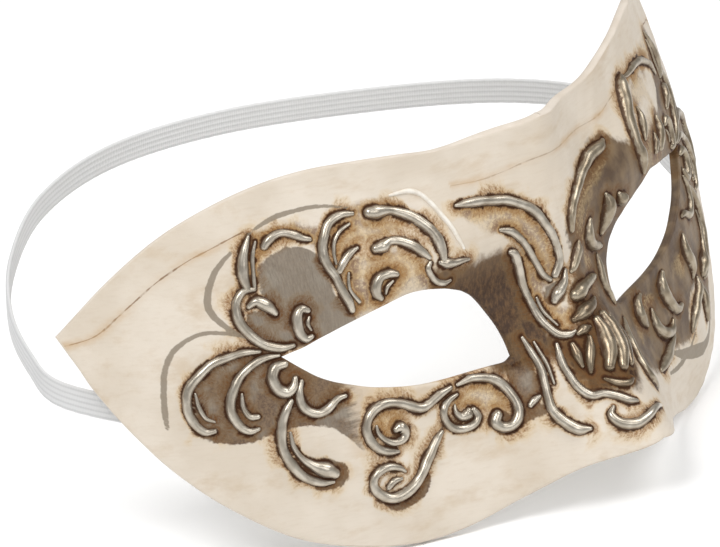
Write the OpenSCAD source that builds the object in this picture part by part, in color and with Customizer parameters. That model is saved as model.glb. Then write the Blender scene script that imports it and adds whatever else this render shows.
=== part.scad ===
// Venetian half mask (Colombina): a curved shell with two eye holes, raised
// scroll strokes bonded on its front, and a flat elastic band held by two
// glued tabs inside the temples.
// Millimetres, +Z up, the front faces -Y, the wearer's right is -X.
// The origin is the inner face of the nose bridge, where the mask sits.

/* [Shell] */
// Distance between the two temple tips
mask_width = 195; // [180:1:215]
// Wall of the shell
shell_t = 2; // [1.2:0.1:3]
// How far the temples sweep back, gentle part
wrap_2 = 29; // [20:0.5:36]
// How far the temples sweep back, sharp part near the tips
wrap_4 = 21; // [12:0.5:30]
// Backward lean of the forehead
lean = 12.5; // [6:0.5:18]
// Roundness of the cheeks and the brow at the temples
cheek_round = 14; // [6:0.5:20]
// Fullness of the brow above each eye
brow_full = 5.5; // [0:0.5:9]
// Rise of the left temple over the right one, which is made by hand
tip_rise = 5; // [0:0.5:8]

/* [Nose] */
// Height of the nose where it leaves the brow
nose_root = 6; // [2:0.5:10]
// Height that the nose gains towards its tip
nose_gain = 20.5; // [12:0.5:26]
// Half width of the nose at its root
nose_half = 11.5; // [8:0.5:15]
// Half width that the nose gains towards its tip
nose_flare = 8.5; // [3:0.5:12]

/* [Relief] */
// Width of every raised stroke against its drawn width
stroke_scale = 1; // [0.7:0.05:1.3]
// Height of a raised stroke against its half width
stroke_height = 1; // [0.6:0.05:1.4]

/* [Band] */
// Width of the elastic band
band_w = 6; // [4:0.5:10]
// Thickness of the elastic band
band_t = 1; // [0.8:0.1:1.6]
// How far the loop reaches behind the nose bridge
band_reach = 132; // [120:1:150]

/* [Hidden] */

ivory = [0.86, 0.81, 0.74];
pewter = [0.62, 0.60, 0.57];
elastic = [0.93, 0.93, 0.92];
cloth = [0.85, 0.82, 0.77];

sx = mask_width / 195;
R = -1;
L = 1;

// Matched points: the eye edge [x, z] and the outer edge [x, z] that it fans to.
top_spokes = [
  [[27, 9.2], [0, 39.9]], [[29.5, 10.4], [7.5, 39.1]], [[32.5, 11.6], [15, 38.2]], [[37, 12.6], [25, 38.1]],
  [[41, 12.7], [34, 39.3]], [[46, 11.3], [43, 40.2]], [[51, 9.8], [53, 40.6]],
  [[55.5, 8.5], [62, 39.4]], [[59.5, 7.3], [71, 36.4]], [[62.5, 6.3], [80, 31.6]],
  [[65, 5.7], [89, 24.2]], [[66.8, 5.2], [97.6, 15]]
];
low_spokes = [
  [[66.8, 5.2], [97.6, 15]], [[65.2, 3.4], [96.4, 9]], [[63.4, 1.5], [95, 2.5]],
  [[61.2, -0.6], [91.8, -6.5]], [[58.4, -2.5], [87.2, -15.6]],
  [[54.8, -4.2], [80.4, -24.4]], [[51, -5.8], [71, -32.6]],
  [[46, -7.2], [60, -37.3]], [[40.5, -8.3], [48, -39.6]],
  [[34.5, -8.9], [37, -38.8]], [[29.5, -9.1], [26, -35]],
  [[25, -9.1], [13.5, -29.6]], [[21, -9], [0, -26.1]]
];
mid_low = [[[21, -9], [0, -26.1]], [[19, -8.9], [0, -17]], [[17.2, -8.1], [0, -8]]];
mid_up = [
  [[17.2, -8.1], [0, -8]], [[17.3, -4.6], [0, 1]], [[18.4, -0.7], [0, 11]],
  [[20.9, 3.6], [0, 21]], [[23.7, 6.8], [0, 31]], [[27, 9.2], [0, 39.9]]
];
rings = 7;

// Raised strokes on one side: [distance from the middle, height, half width].
temple_leaf = [
  [[66.1, 30, 0.4], [67.2, 27.8, 0.9], [68.3, 25.3, 1.2], [68.9, 22.6, 1.2], [68.9, 19.9, 0.8]],
  [[65.2, 28.8, 0.3], [66.6, 25.3, 0.5], [67.7, 20, 0.4]],
  [[67.9, 19.6, 0.5], [69.7, 19.5, 0.8], [71.4, 17.6, 1], [71.9, 14.8, 1.1], [71.4, 12, 1.1], [70.2, 9.8, 1.1], [68.4, 7.9, 1], [66.2, 6.9, 0.9], [64, 7, 0.5]],
  [[69.6, 16.4, 0.6], [68.2, 17.2, 1.1], [66.8, 16, 1.3], [65.6, 14.2, 0.7]],
  [[60, 13.5, 0.7], [61, 13.9, 1], [62, 12.8, 1.2], [62.4, 10.8, 1.2], [62.2, 8.9, 1.1], [61.4, 7.8, 0.9], [60.4, 8, 0.6]],
  [[60, 12, 0.3], [60.5, 10.8, 0.45], [60.2, 9.4, 0.3]],
  [[64, 27.6, 0.8], [63.1, 28.6, 1], [61.5, 29.5, 0.9], [60, 29.6, 0.85], [58.4, 28.9, 0.9], [57.1, 27.9, 0.7], [55.9, 27.4, 0.5]]
];
cheek_fern = [
  [[70, 7.1, 0.4], [72.8, 7.4, 0.8], [75.6, 7, 0.9], [78.3, 6.1, 1], [81.1, 3.9, 1.1], [83.1, 1.2, 1.1], [83.8, -2.2, 1.1], [83.3, -5.3, 1], [82.2, -7.2, 0.9], [80.7, -7.3, 0.6]],
  [[82, 0.8, 0.3], [82, -1.9, 0.5], [81.5, -4.4, 0.5], [80.3, -5.4, 0.3]],
  [[67, 5.6, 0.4], [69.7, 5.5, 0.8], [72.2, 4.5, 0.9], [74.7, 2.3, 1], [76.6, -0.8, 1.1], [77.3, -4.1, 1.1], [76.7, -6.9, 1], [75.3, -8.5, 0.8], [73.7, -8.4, 0.5]],
  [[74.9, -0.8, 0.3], [75.2, -3.4, 0.6], [74.6, -5.6, 0.7], [73.3, -5.9, 0.6]],
  [[66.4, 3.6, 0.8], [68, 3.3, 1.1], [69.1, 1.4, 1.3], [68.8, -1, 1.3], [67.4, -2.1, 1.2], [66, -1.4, 1], [65.2, 0.2, 0.7]]
];
cheek_tail = [
  [[64.2, -0.6, 0.5], [65.2, -3, 0.9], [65, -6, 1], [63.2, -7.7, 1], [61, -7.4, 1], [58.6, -5.9, 0.8], [56.8, -5.6, 0.5]],
  [[67, -4.1, 0.6], [68.3, -5.8, 1], [69.7, -8.8, 1.1], [70.4, -12.2, 1.1], [70.1, -15.5, 1.1], [69, -18.4, 1.1], [67.2, -20.8, 1], [65, -22.2, 0.8], [62.8, -22.5, 0.4]],
  [[68.5, -10.4, 0.3], [68.5, -13.4, 0.6], [67.5, -16.3, 0.7], [65.7, -18.3, 1.1], [63.8, -19.6, 1.8], [62.3, -20.8, 1.2]]
];
brow_scroll = [
  [[46.6, 30.6, 0.5], [48.4, 30.9, 0.8], [50.2, 30.5, 1], [51.9, 29.4, 1], [53.2, 27.6, 1.1], [54.1, 25.5, 1.1], [54.5, 23.4, 1.1], [54.3, 21.3, 1], [53.6, 19.4, 1], [53.3, 17.3, 1], [52.9, 15.4, 1], [52.2, 13.4, 1], [51.9, 11.8, 0.8]],
  [[47.9, 28.8, 0.3], [50, 27.9, 0.45], [51.7, 26.1, 0.45], [52.6, 23.8, 0.4], [52.8, 21.8, 0.3]],
  [[48.2, 24, 0.4], [49.8, 23.3, 0.8], [51.3, 21.9, 0.9], [52.6, 20.3, 0.8]],
  [[51.2, 19.4, 0.3], [51.6, 17.8, 0.4], [51.6, 15.8, 0.4], [50.4, 13.2, 0.5]]
];
brow_scroll_left = [
  [[52.6, 18.6, 0.6], [51.8, 16.9, 1.4], [50.7, 15, 1.6], [49.6, 13.5, 1.1]],
  [[47.4, 17.4, 0.5], [46.6, 16, 1.1], [45.6, 14.6, 0.8]],
  [[42.4, 25.2, 0.5], [41.9, 23.6, 1.1], [41, 21.8, 1.2], [40, 20, 0.6]]
];
temple_leaf_left = [for (i = [0 : 5]) temple_leaf[i]];
brow_drops = [
  [[43.3, 30.1, 1.3], [41.8, 29.8, 1.5], [39.4, 29.6, 1], [37.4, 28.8, 1.1], [35.3, 27.3, 1.2], [33.5, 25.3, 1.3], [32.5, 23, 1.3], [32.1, 20.6, 1.2], [32.3, 18, 0.8]],
  [[44.8, 23.2, 1.1], [43.4, 23.3, 1.4], [41.8, 24, 0.9], [40, 23.8, 1], [38.2, 22.6, 1.1], [36.6, 20.9, 1], [35.4, 19.3, 0.6]],
  [[35.5, 18.2, 0.5], [36.2, 17.2, 0.7], [35.8, 15.6, 0.7], [34.6, 13.9, 0.7], [32.8, 12.9, 0.7], [31.2, 13, 0.4]],
  [[42.7, 17.5, 0.7], [44.1, 17.9, 1], [45.8, 17.4, 1.1], [46.8, 15.8, 1.2], [47, 14.2, 1.1], [46.3, 13, 0.7]],
  [[43.6, 16.2, 0.3], [44.8, 15.2, 0.45], [45.2, 13.9, 0.3]],
  [[33.2, 17.6, 0.6], [32, 17.1, 1.1], [30.2, 16.7, 0.9], [28.2, 16.6, 0.7], [26.2, 16.3, 0.4]]
];
brow_drops_left = [
  [[40.6, 32.4, 0.8], [39.2, 31.4, 1.8], [37.8, 29.8, 2], [36.7, 27.8, 1.9], [35.6, 25.5, 1.7], [35, 23.2, 1.5], [34.8, 21, 1.4], [35.2, 18.8, 1.6], [35.2, 16.6, 1.4], [35.4, 14.8, 0.8]]
];
brow_arc = [
  [[38, 32.3, 0.3], [35.8, 32.3, 0.5], [33, 31.9, 0.6], [31, 30.4, 0.6], [29.5, 27.6, 0.6], [28.3, 24.4, 0.6], [27.4, 21, 0.5], [26.9, 18.9, 0.3]]
];
brow_arc_left = [
  [[42.2, 31.8, 0.4], [44, 31.4, 0.6], [46.4, 31.3, 0.8], [49, 31.1, 0.9], [52.2, 30.5, 0.9], [55.5, 29.4, 0.9], [58.8, 27.5, 0.8], [61.8, 25, 0.7], [64.2, 22.2, 0.4]]
];
long_scroll = [
  [[48.7, -19.8, 0.4], [50.7, -19.3, 0.9], [52.7, -18, 1], [54, -16, 1.1], [54.2, -13.7, 1.1], [53.3, -11.4, 1.1], [51.8, -10, 1.1], [50, -9.4, 1.1], [47.7, -9.6, 1], [45.4, -10.4, 1], [43.8, -11.4, 1.1], [42.3, -12.3, 1.1], [40.7, -12.5, 1.1], [38.7, -11.8, 1], [36.3, -11, 0.9], [33.8, -10.4, 0.6]],
  [[52, -13.4, 0.3], [51.9, -15, 0.5], [50.8, -16.8, 0.7], [49, -17.8, 0.8], [47, -17.5, 0.9], [46.2, -16.2, 1.1], [47, -15, 1.4], [48, -15.2, 0.8]],
  [[31.8, -10.3, 0.4], [29, -10, 0.8], [27, -10.2, 0.9], [24.7, -10.8, 1], [22.8, -12, 1.1], [21.5, -13.8, 1.1], [20.9, -16, 1.1], [21, -18, 1.1], [21.9, -19.8, 1.2], [23.4, -20.9, 1.2], [25.2, -20.8, 1.2], [26.2, -19.6, 1.3], [25.4, -18.4, 1.2]]
];
eye_curls = [
  [[32.6, -12.2, 0.4], [34.7, -12.9, 0.7], [36.3, -14, 0.9], [36.8, -15.6, 0.9], [36.3, -17.4, 0.9], [35, -18.8, 0.9], [32.7, -19.4, 0.9], [30.5, -18.9, 0.9], [29.3, -17.6, 0.9], [29.8, -16.2, 0.7]],
  [[33.6, -14.2, 0.3], [33.8, -15.6, 0.6], [32.8, -16.8, 0.9], [31.3, -16.7, 1.3], [30.9, -16.2, 0.8]],
  [[38.2, -18.6, 0.5], [39.5, -19.6, 1], [41, -21, 1.1], [42.7, -23, 1.2], [44.4, -25.2, 1.2], [46.5, -27.2, 1.2], [49, -28.7, 1.3], [51.7, -29, 1.2], [54, -27.9, 1.1], [55.2, -26, 1.1], [54.8, -24, 1], [53.3, -22.7, 1], [51.3, -22.4, 0.9], [49.3, -23.2, 0.7], [48.2, -24.2, 0.4]],
  [[49.3, -25.5, 0.4], [51.1, -25.6, 0.8], [52.3, -26.6, 0.7]]
];
long_scroll_left = [
  [[28.4, -10.8, 0.5], [26.4, -11.8, 1.2], [25.6, -13.2, 1.5], [25.9, -15, 1.4], [27.6, -17, 0.6]],
  [[32, -15.6, 0.5], [31.7, -17.4, 1.1], [32, -19.2, 1.4], [33.8, -21.2, 1.5], [36, -22.3, 1.3], [38.2, -22.4, 1.1], [39.8, -21.2, 0.6]],
  [[40.4, -10.8, 0.6], [38.8, -12.2, 1.3], [38.6, -14.2, 1.6], [39.6, -16.6, 1.6], [41.4, -18.8, 1.4], [43.6, -20.2, 1.1], [45.6, -20.2, 0.6]],
  [[54.6, -8.8, 0.5], [53.8, -10.8, 1.3], [54.1, -12.8, 1.6], [55.4, -15.2, 1.5], [56, -17.2, 1.1], [55.6, -18.6, 0.5]]
];
eye_curls_left = [
  [[58.2, -20.2, 0.6], [57.4, -21.8, 1.3], [55.8, -23.1, 1.3], [53.4, -24.2, 1.3], [51, -25.4, 1.2], [48.6, -27.4, 0.6]],
  [[59.6, -22.6, 0.6], [59.6, -24.8, 1.2], [59.2, -27.4, 1.3], [59.4, -30, 0.7]],
  [[39, -23.9, 0.4], [35.6, -25, 1.1], [32, -25.7, 1.3], [28.8, -26, 1.1], [26, -25.7, 0.6]]
];
nose_leaf = [
  [[24.6, 26.8, 0.4], [22.5, 26.6, 0.9], [19.5, 26.1, 1.1], [16, 25.5, 1.1], [12, 24.5, 1.1], [8.6, 22.8, 1.1], [6.1, 20.4, 1.1], [4.6, 17.5, 1.1], [3.3, 14.5, 1], [2.5, 11.5, 1], [2.6, 8.7, 1], [4, 6.3, 0.9]],
  [[5.4, 5.6, 0.6], [6.9, 7.2, 0.8], [8, 10, 0.8], [9.3, 13, 0.8], [11, 16, 0.9], [13, 18.1, 0.9], [15.7, 19.3, 0.5]],
  [[14, 14, 0.6], [12.8, 13, 1.1], [12, 10, 1.1], [11.5, 7, 1], [11, 4, 0.9], [10.3, 0.5, 0.9], [9.5, -2.8, 0.9], [8.1, -5, 0.9], [6.2, -5.5, 0.8], [4.8, -5.1, 0.4]],
  [[9.1, 2.4, 0.3], [8.7, -0.6, 0.45], [7.4, -3.4, 0.3]]
];
nose_leaf_left = [
  [[23.6, 25.6, 0.6], [22, 25, 1.3], [19.6, 24.9, 1.5], [16.6, 24.4, 1.5], [13.4, 23.4, 1.4], [10.6, 22.2, 1.3], [7.6, 20.8, 1.3], [4.6, 18.8, 1.2], [3.2, 16.4, 1.1], [3, 14, 0.8]],
  [[12.2, 12.4, 0.6], [11, 11.2, 1.3], [10.4, 9.8, 1.6], [11.2, 8, 1.6], [13, 6.4, 1.4], [15, 5.3, 1.2], [17, 4.5, 0.6]],
  [[19.2, 15.6, 0.6], [19.8, 13.8, 1.6], [19.5, 12, 1.9], [18.8, 9.8, 1.6], [17.6, 7.4, 0.7]],
  [[24, 14, 0.7], [24.8, 12.8, 1.7], [25.2, 12, 1.4]],
  [[14.6, 3.4, 0.5], [14.2, 2, 0.9], [14, 0.2, 1.1], [13.8, -2, 1.1], [14.3, -3.8, 1], [15.2, -5.6, 0.9], [15.9, -7.2, 0.5]]
];
nose_drop = [
  [[18.6, -17.6, 0.6], [17.6, -16.8, 0.8], [16.5, -16.2, 0.5]],
  [[14.6, -4.8, 0.4], [14, -8, 0.8], [13.9, -11.4, 0.9], [14.5, -14, 0.9], [15.2, -16.5, 1], [15.5, -19, 1.1], [14.8, -21.3, 1.3], [13.3, -22.8, 1.3], [11.5, -22.9, 0.5]],
  [[12.8, -6, 0.3], [12.5, -10, 0.45], [13, -14, 0.3]]
];
nose_drop_left = [
  [[17, -11, 0.4], [15, -12, 0.9], [13.2, -13.2, 1.2], [11.6, -15, 1.2], [10.6, -17, 1.3], [10.9, -19.4, 1.3], [12.8, -21.8, 1.1], [15, -23.6, 0.6]]
];
nose_scroll = [
  [[9.2, -7, 0.5], [9.8, -9.6, 0.9], [10, -12.5, 0.9], [9.7, -15, 1], [8.4, -16.8, 1], [6.3, -16.7, 0.9], [4.3, -17.4, 0.9], [2.7, -18.5, 0.9], [1.2, -18.9, 0.5]],
  [[5.8, 1.2, 0.8], [4.8, 2.3, 1.4], [3.4, 3.4, 1.2], [2, 4.8, 0.8], [1.2, 6.4, 0.5]]
];
// Strokes in the middle: [x, height, half width].
nose_scroll_left = [
  [[10.4, 0.8, 0.5], [8, 1.3, 1], [5.4, 1.7, 1.2], [2.8, 1.7, 1.4], [0.6, 1.4, 1.8], [-0.8, 1.2, 1.5]],
  [[5, 10.4, 0.6], [4, 9.2, 1.3], [2.9, 8.1, 1.3], [1.8, 7, 1.1], [0.8, 6, 0.8], [0.2, 5.6, 0.4]]
];
palmette = [
  [[5, -1.5, 0.5], [2.2, -1.9, 1.3], [-1, -2.3, 1.6], [-3.8, -3, 0.7]],
  [[-1.4, -5, 0.5], [-2.9, -5.1, 1.2], [-4.4, -5.6, 0.6]],
  [[-6.6, -7.4, 0.6], [-6.8, -9.4, 1.1], [-7, -11.4, 0.5]],
  [[-2.8, -6.8, 0.7], [-4, -8.8, 1.2], [-5.3, -10.9, 1], [-6.2, -12.6, 0.5]],
  [[1.6, -4.6, 1.1], [1.2, -7.4, 1.9], [-0.3, -10, 1.9], [-2.2, -12.2, 1.2]],
  [[4.8, -4.8, 1.1], [4.7, -7.8, 2], [3.2, -10.8, 2], [1, -13, 1.2]],
  [[7.4, -6.4, 0.9], [7.4, -9.2, 1.5], [6.2, -11.8, 1.5], [4.3, -13.6, 0.9]],
  [[-4.6, -14.2, 0.4], [-2.8, -15.2, 0.8], [-0.6, -15.8, 0.8], [1.4, -15.6, 0.4]]
];
crescent = [
  [[-6.1, -19.2, 0.4], [-7.2, -20.6, 0.9], [-6.4, -22.3, 1.2], [-4.2, -22.7, 1.2], [-1.5, -22, 1.1], [1.6, -21.5, 0.9], [4.4, -21.8, 0.7], [6.4, -22.8, 0.4]]
];

// Free part of the band on one side: [x, y, z], y against the reach.
band_free = [
  [95, 61, -4.5], [92, 72, -1.5], [80, 88.6, 0], [58.5, 108, 0], [30, 125.4, 0]
];
band_z = -7;
band_start = 82;
tab_len = 13;
tab_high = 12;
tab_t = 2.6;

// The front surface over x and z, before the rise of the temples.
function nose_y(x, z) =
  let (t = min(1, max(0, (8 - z) / 46)), s = t * t * (3 - 2 * t))
  -(nose_root + nose_gain * s) * exp(-pow(abs(x) / (nose_half + nose_flare * s), 2 - 0.3 * s));
function front_y(x, z) =
  let (u = abs(x) / 100, w = z / 50)
  wrap_2 * u * u + wrap_4 * pow(u, 4) + lean * w - 2 * w * w - 1.5 * pow(w, 3)
  + 7 * u * u * w + cheek_round * u * u * w * w
  - brow_full * exp(-pow((abs(x) - 30) / 22, 2) - pow((z - 18) / 11, 2))
  + nose_y(x, z);
y0 = -front_y(0, 0) - shell_t * norm([1, (front_y(0, 0.4) - front_y(0, -0.4)) / 0.8]);
function rise(x) = tip_rise * pow(x / 97, 3);
function front(x, z) = [sx * x, front_y(x, z) + y0, z + rise(x)];
function unit(v) = v / norm(v);
function normal(x, z, e = 0.4) =
  unit(cross(front(x + e, z) - front(x - e, z), front(x, z + e) - front(x, z - e)));
// The wall grows along the normal, and straight back on the narrow nose.
function smooth(t) = let (c = min(1, max(0, t))) c * c * (3 - 2 * c);
function depth(x, z, d) =
  let (n = normal(x, z), q = smooth((abs(x) - 12) / 10))
  front(x, z) + d * (-q * n + [0, (1 - q) * min(2.6, -1 / n[1]), 0]);

function cr(a, b, c, d, t) =
  0.5 * (2 * b + (c - a) * t + (2 * a - 5 * b + 4 * c - d) * t * t
  + (3 * b - a - 3 * c + d) * t * t * t);
function at(P, i) = P[min(len(P) - 1, max(0, i))];
function curve(P, m) = [
  for (i = [0 : len(P) - 2], k = [0 : m - 1])
    cr(at(P, i - 1), P[i], P[i + 1], at(P, i + 2), k / m),
  P[len(P) - 1]
];
function drop_last(P) = [for (i = [0 : len(P) - 2]) P[i]];
function col(P, k) = [for (p = P) p[k]];
function spokes(P, m) =
  let (a = curve(col(P, 0), m), b = curve(col(P, 1), m))
  [for (i = [0 : len(a) - 1]) [a[i], b[i]]];
function straight(P, m) =
  let (a = curve(col(P, 0), m), b = curve(col(P, 1), m))
  [for (i = [0 : len(a) - 1]) [a[i], [0, b[i][1]]]];

fan = concat(
  drop_last(spokes(top_spokes, 3)), drop_last(spokes(low_spokes, 3)),
  drop_last(straight(mid_low, 2)), drop_last(straight(mid_up, 3)));
fan_n = len(fan);
// The first spoke and those from mid_low onwards end on the middle line.
mid_from = 3 * (len(top_spokes) - 1) + 3 * (len(low_spokes) - 1);
function on_middle(i) = i == 0 || i >= mid_from;

module shell() {
  function grid(side, d) = [
    for (j = [0 : rings], i = [0 : fan_n - 1])
      let (p = fan[i][0] + (fan[i][1] - fan[i][0]) * j / rings, x = side * p[0])
      depth(x, p[1], d)];
  size = fan_n * (rings + 1);
  pts = concat(grid(R, 0), grid(R, shell_t), grid(L, 0), grid(L, shell_t));
  function id(side, back, i, j) =
    let (k = i % fan_n, own = side == L && !(j == rings && on_middle(k)))
    (own ? 2 * size : 0) + (back ? size : 0) + j * fan_n + k;
  function quad(a, b, c, d, flip) = flip ? [[a, b, c], [a, c, d]] : [[a, c, b], [a, d, c]];
  function skin(side, back) = [
    for (j = [0 : rings - 1], i = [0 : fan_n - 1])
      each quad(id(side, back, i, j), id(side, back, i + 1, j),
                id(side, back, i + 1, j + 1), id(side, back, i, j + 1),
                (side == R) != back)];
  function rim(side, j, turn) = [
    for (i = [0 : fan_n - 1])
      if (j == 0 || !(on_middle(i) && on_middle((i + 1) % fan_n)))
        each quad(id(side, false, i, j), id(side, false, i + 1, j),
                  id(side, true, i + 1, j), id(side, true, i, j),
                  (side == R) != turn)];
  color(ivory)
  polyhedron(pts, concat(
    skin(R, false), skin(R, true), skin(L, false), skin(L, true),
    rim(R, 0, true), rim(L, 0, true), rim(R, rings, false), rim(L, rings, false)),
    convexity = 10);
}

// One raised stroke: a half-round bead that follows the front surface.
bead = [[-1, 0], [-0.72, 0.68], [0, 1], [0.72, 0.68], [1, 0]];
sink = 0.25;
module stroke(P, side) {
  c = curve(P, 2);
  n = len(c);
  s = [for (p = c) front(side * p[0], p[1])];
  t = [for (i = [0 : n - 1]) unit(at(s, i + 1) - at(s, i - 1))];
  u = [for (p = c) normal(side * p[0], p[1])];
  b = [for (i = [0 : n - 1]) unit(cross(u[i], t[i]))];
  w = [for (p = c) stroke_scale * max(0.25, p[2])];
  ring_pts = [
    for (i = [0 : n - 1], q = bead)
      s[i] + b[i] * w[i] * q[0] + u[i] * (w[i] * stroke_height * q[1] - (q[1] == 0 ? sink : 0))];
  tips = [
    s[0] - t[0] * w[0] * 0.8, s[n - 1] + t[n - 1] * w[n - 1] * 0.8];
  faces = concat(
    [for (i = [0 : n - 2], k = [0 : 4])
      let (a = 5 * i + k, e = 5 * i + (k + 1) % 5)
      each [[a, e, a + 5], [e, e + 5, a + 5]]],
    [for (k = [0 : 4]) [5 * n, (k + 1) % 5, k]],
    [for (k = [0 : 4]) [5 * n + 1, 5 * (n - 1) + k, 5 * (n - 1) + (k + 1) % 5]]);
  polyhedron(concat(ring_pts, tips), faces, convexity = 6);
}
module strokes(P, side) {
  color(pewter) union() for (p = P) stroke(p, side);
}

module right_temple_leaf() strokes(temple_leaf, R);
module left_temple_leaf() strokes(temple_leaf_left, L);
module right_cheek_fern() strokes(cheek_fern, R);
module left_cheek_fern() strokes(cheek_fern, L);
module right_cheek_tail() strokes(cheek_tail, R);
module left_cheek_tail() strokes(cheek_tail, L);
module right_brow_scroll() strokes(brow_scroll, R);
module left_brow_scroll() strokes(brow_scroll_left, L);
module right_brow_drops() strokes(brow_drops, R);
module left_brow_drops() strokes(brow_drops_left, L);
module right_brow_arc() strokes(brow_arc, R);
module left_brow_arc() strokes(brow_arc_left, L);
module right_long_scroll() strokes(long_scroll, R);
module left_long_scroll() strokes(long_scroll_left, L);
module right_eye_curls() strokes(eye_curls, R);
module left_eye_curls() strokes(eye_curls_left, L);
module right_nose_leaf() strokes(nose_leaf, R);
module left_nose_leaf() strokes(nose_leaf_left, L);
module right_nose_drop() strokes(nose_drop, R);
module left_nose_drop() strokes(nose_drop_left, L);
module right_nose_scroll() strokes(nose_scroll, R);
module left_nose_scroll() strokes(nose_scroll_left, L);
module nose_palmette() strokes(palmette, L);
module nose_crescent() strokes(crescent, L);

// A glued patch inside the temple. The band leaves its rear end.
function inside(side, x, zw, d) = depth(side * x, zw - rise(side * x), d);
module tab(side) {
  m = 5;
  k = 4;
  function face(d) = [
    for (i = [0 : m], j = [0 : k])
      inside(side, band_start - tab_len + tab_len * i / m,
             band_z + tab_high * (j / k - 0.5), d)];
  h = (m + 1) * (k + 1);
  function id(b, i, j) = b * h + i * (k + 1) + j;
  function quad(a, b, c, d, f) = f ? [[a, b, c], [a, c, d]] : [[a, c, b], [a, d, c]];
  f = side == L;
  color(cloth)
  polyhedron(concat(face(shell_t - 0.25), face(shell_t + tab_t)), concat(
    [for (i = [0 : m - 1], j = [0 : k - 1])
      each quad(id(0, i, j), id(0, i + 1, j), id(0, i + 1, j + 1), id(0, i, j + 1), !f)],
    [for (i = [0 : m - 1], j = [0 : k - 1])
      each quad(id(1, i, j), id(1, i + 1, j), id(1, i + 1, j + 1), id(1, i, j + 1), f)],
    [for (i = [0 : m - 1]) each quad(id(0, i, 0), id(0, i + 1, 0), id(1, i + 1, 0), id(1, i, 0), f)],
    [for (i = [0 : m - 1]) each quad(id(0, i, k), id(0, i + 1, k), id(1, i + 1, k), id(1, i, k), !f)],
    [for (j = [0 : k - 1]) each quad(id(0, 0, j), id(0, 0, j + 1), id(1, 0, j + 1), id(1, 0, j), !f)],
    [for (j = [0 : k - 1]) each quad(id(0, m, j), id(0, m, j + 1), id(1, m, j + 1), id(1, m, j), f)]),
    convexity = 4);
}
module right_band_tab() tab(R);
module left_band_tab() tab(L);

// The elastic band: a flat strip swept behind the head, its width upright.
function band_side(side) = concat(
  [inside(side, band_start + 0.9, band_z, shell_t + 1.4),
   inside(side, band_start + 4.5, band_z, shell_t + 2),
   inside(side, band_start + 8.5, band_z + 0.2, shell_t + 3)],
  [for (p = band_free) [side * sx * p[0], p[1] * band_reach / 132, p[2]]]);
function back_of(P) = [for (i = [len(P) - 1 : -1 : 0]) P[i]];
band_path = curve(concat(band_side(R), [[0, band_reach, 0]], back_of(band_side(L))), 4);
module elastic_band() {
  n = len(band_path);
  h = band_w / 2;
  e = band_t / 2;
  prof = [
    [-e, -h + e * 0.6], [-e * 0.4, -h], [e * 0.4, -h], [e, -h + e * 0.6],
    [e, h - e * 0.6], [e * 0.4, h], [-e * 0.4, h], [-e, h - e * 0.6]];
  t = [for (i = [0 : n - 1]) unit(at(band_path, i + 1) - at(band_path, i - 1))];
  w = [for (v = t) unit([0, 0, 1] - v * v[2])];
  pts = [
    for (i = [0 : n - 1], q = prof)
      band_path[i] + cross(w[i], t[i]) * q[0] + w[i] * q[1]];
  color(elastic)
  polyhedron(pts, concat(
    [[for (k = [0 : 7]) k]], [[for (k = [7 : -1 : 0]) 8 * (n - 1) + k]],
    [for (i = [0 : n - 2], k = [0 : 7])
      let (a = 8 * i + k, c = 8 * i + (k + 1) % 8)
      each [[a, a + 8, c], [c, a + 8, c + 8]]]),
    convexity = 6);
}

shell();
right_temple_leaf();
left_temple_leaf();
right_cheek_fern();
left_cheek_fern();
right_cheek_tail();
left_cheek_tail();
right_brow_scroll();
left_brow_scroll();
right_brow_drops();
left_brow_drops();
right_brow_arc();
left_brow_arc();
right_long_scroll();
left_long_scroll();
right_eye_curls();
left_eye_curls();
right_nose_leaf();
left_nose_leaf();
right_nose_drop();
left_nose_drop();
right_nose_scroll();
left_nose_scroll();
nose_palmette();
nose_crescent();
right_band_tab();
left_band_tab();
elastic_band();
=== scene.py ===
import bpy, math
import numpy as np
from mathutils import Matrix, Vector, kdtree


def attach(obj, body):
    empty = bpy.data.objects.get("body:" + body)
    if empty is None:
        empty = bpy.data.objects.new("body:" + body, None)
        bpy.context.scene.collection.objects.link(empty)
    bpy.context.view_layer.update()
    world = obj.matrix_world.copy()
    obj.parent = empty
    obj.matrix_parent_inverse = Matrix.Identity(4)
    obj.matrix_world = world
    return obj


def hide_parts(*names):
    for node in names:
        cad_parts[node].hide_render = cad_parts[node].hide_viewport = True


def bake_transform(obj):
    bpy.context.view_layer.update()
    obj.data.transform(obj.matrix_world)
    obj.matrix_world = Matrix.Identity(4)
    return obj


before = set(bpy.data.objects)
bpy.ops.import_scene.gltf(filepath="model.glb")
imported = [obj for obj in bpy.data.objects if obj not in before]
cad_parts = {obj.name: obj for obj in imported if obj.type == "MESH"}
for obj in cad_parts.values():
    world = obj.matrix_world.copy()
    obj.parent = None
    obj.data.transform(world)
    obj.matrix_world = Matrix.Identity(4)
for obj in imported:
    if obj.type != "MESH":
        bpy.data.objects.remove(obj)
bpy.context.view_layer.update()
scene = bpy.context.scene
MM = 0.001
R, L = -1, 1

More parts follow.
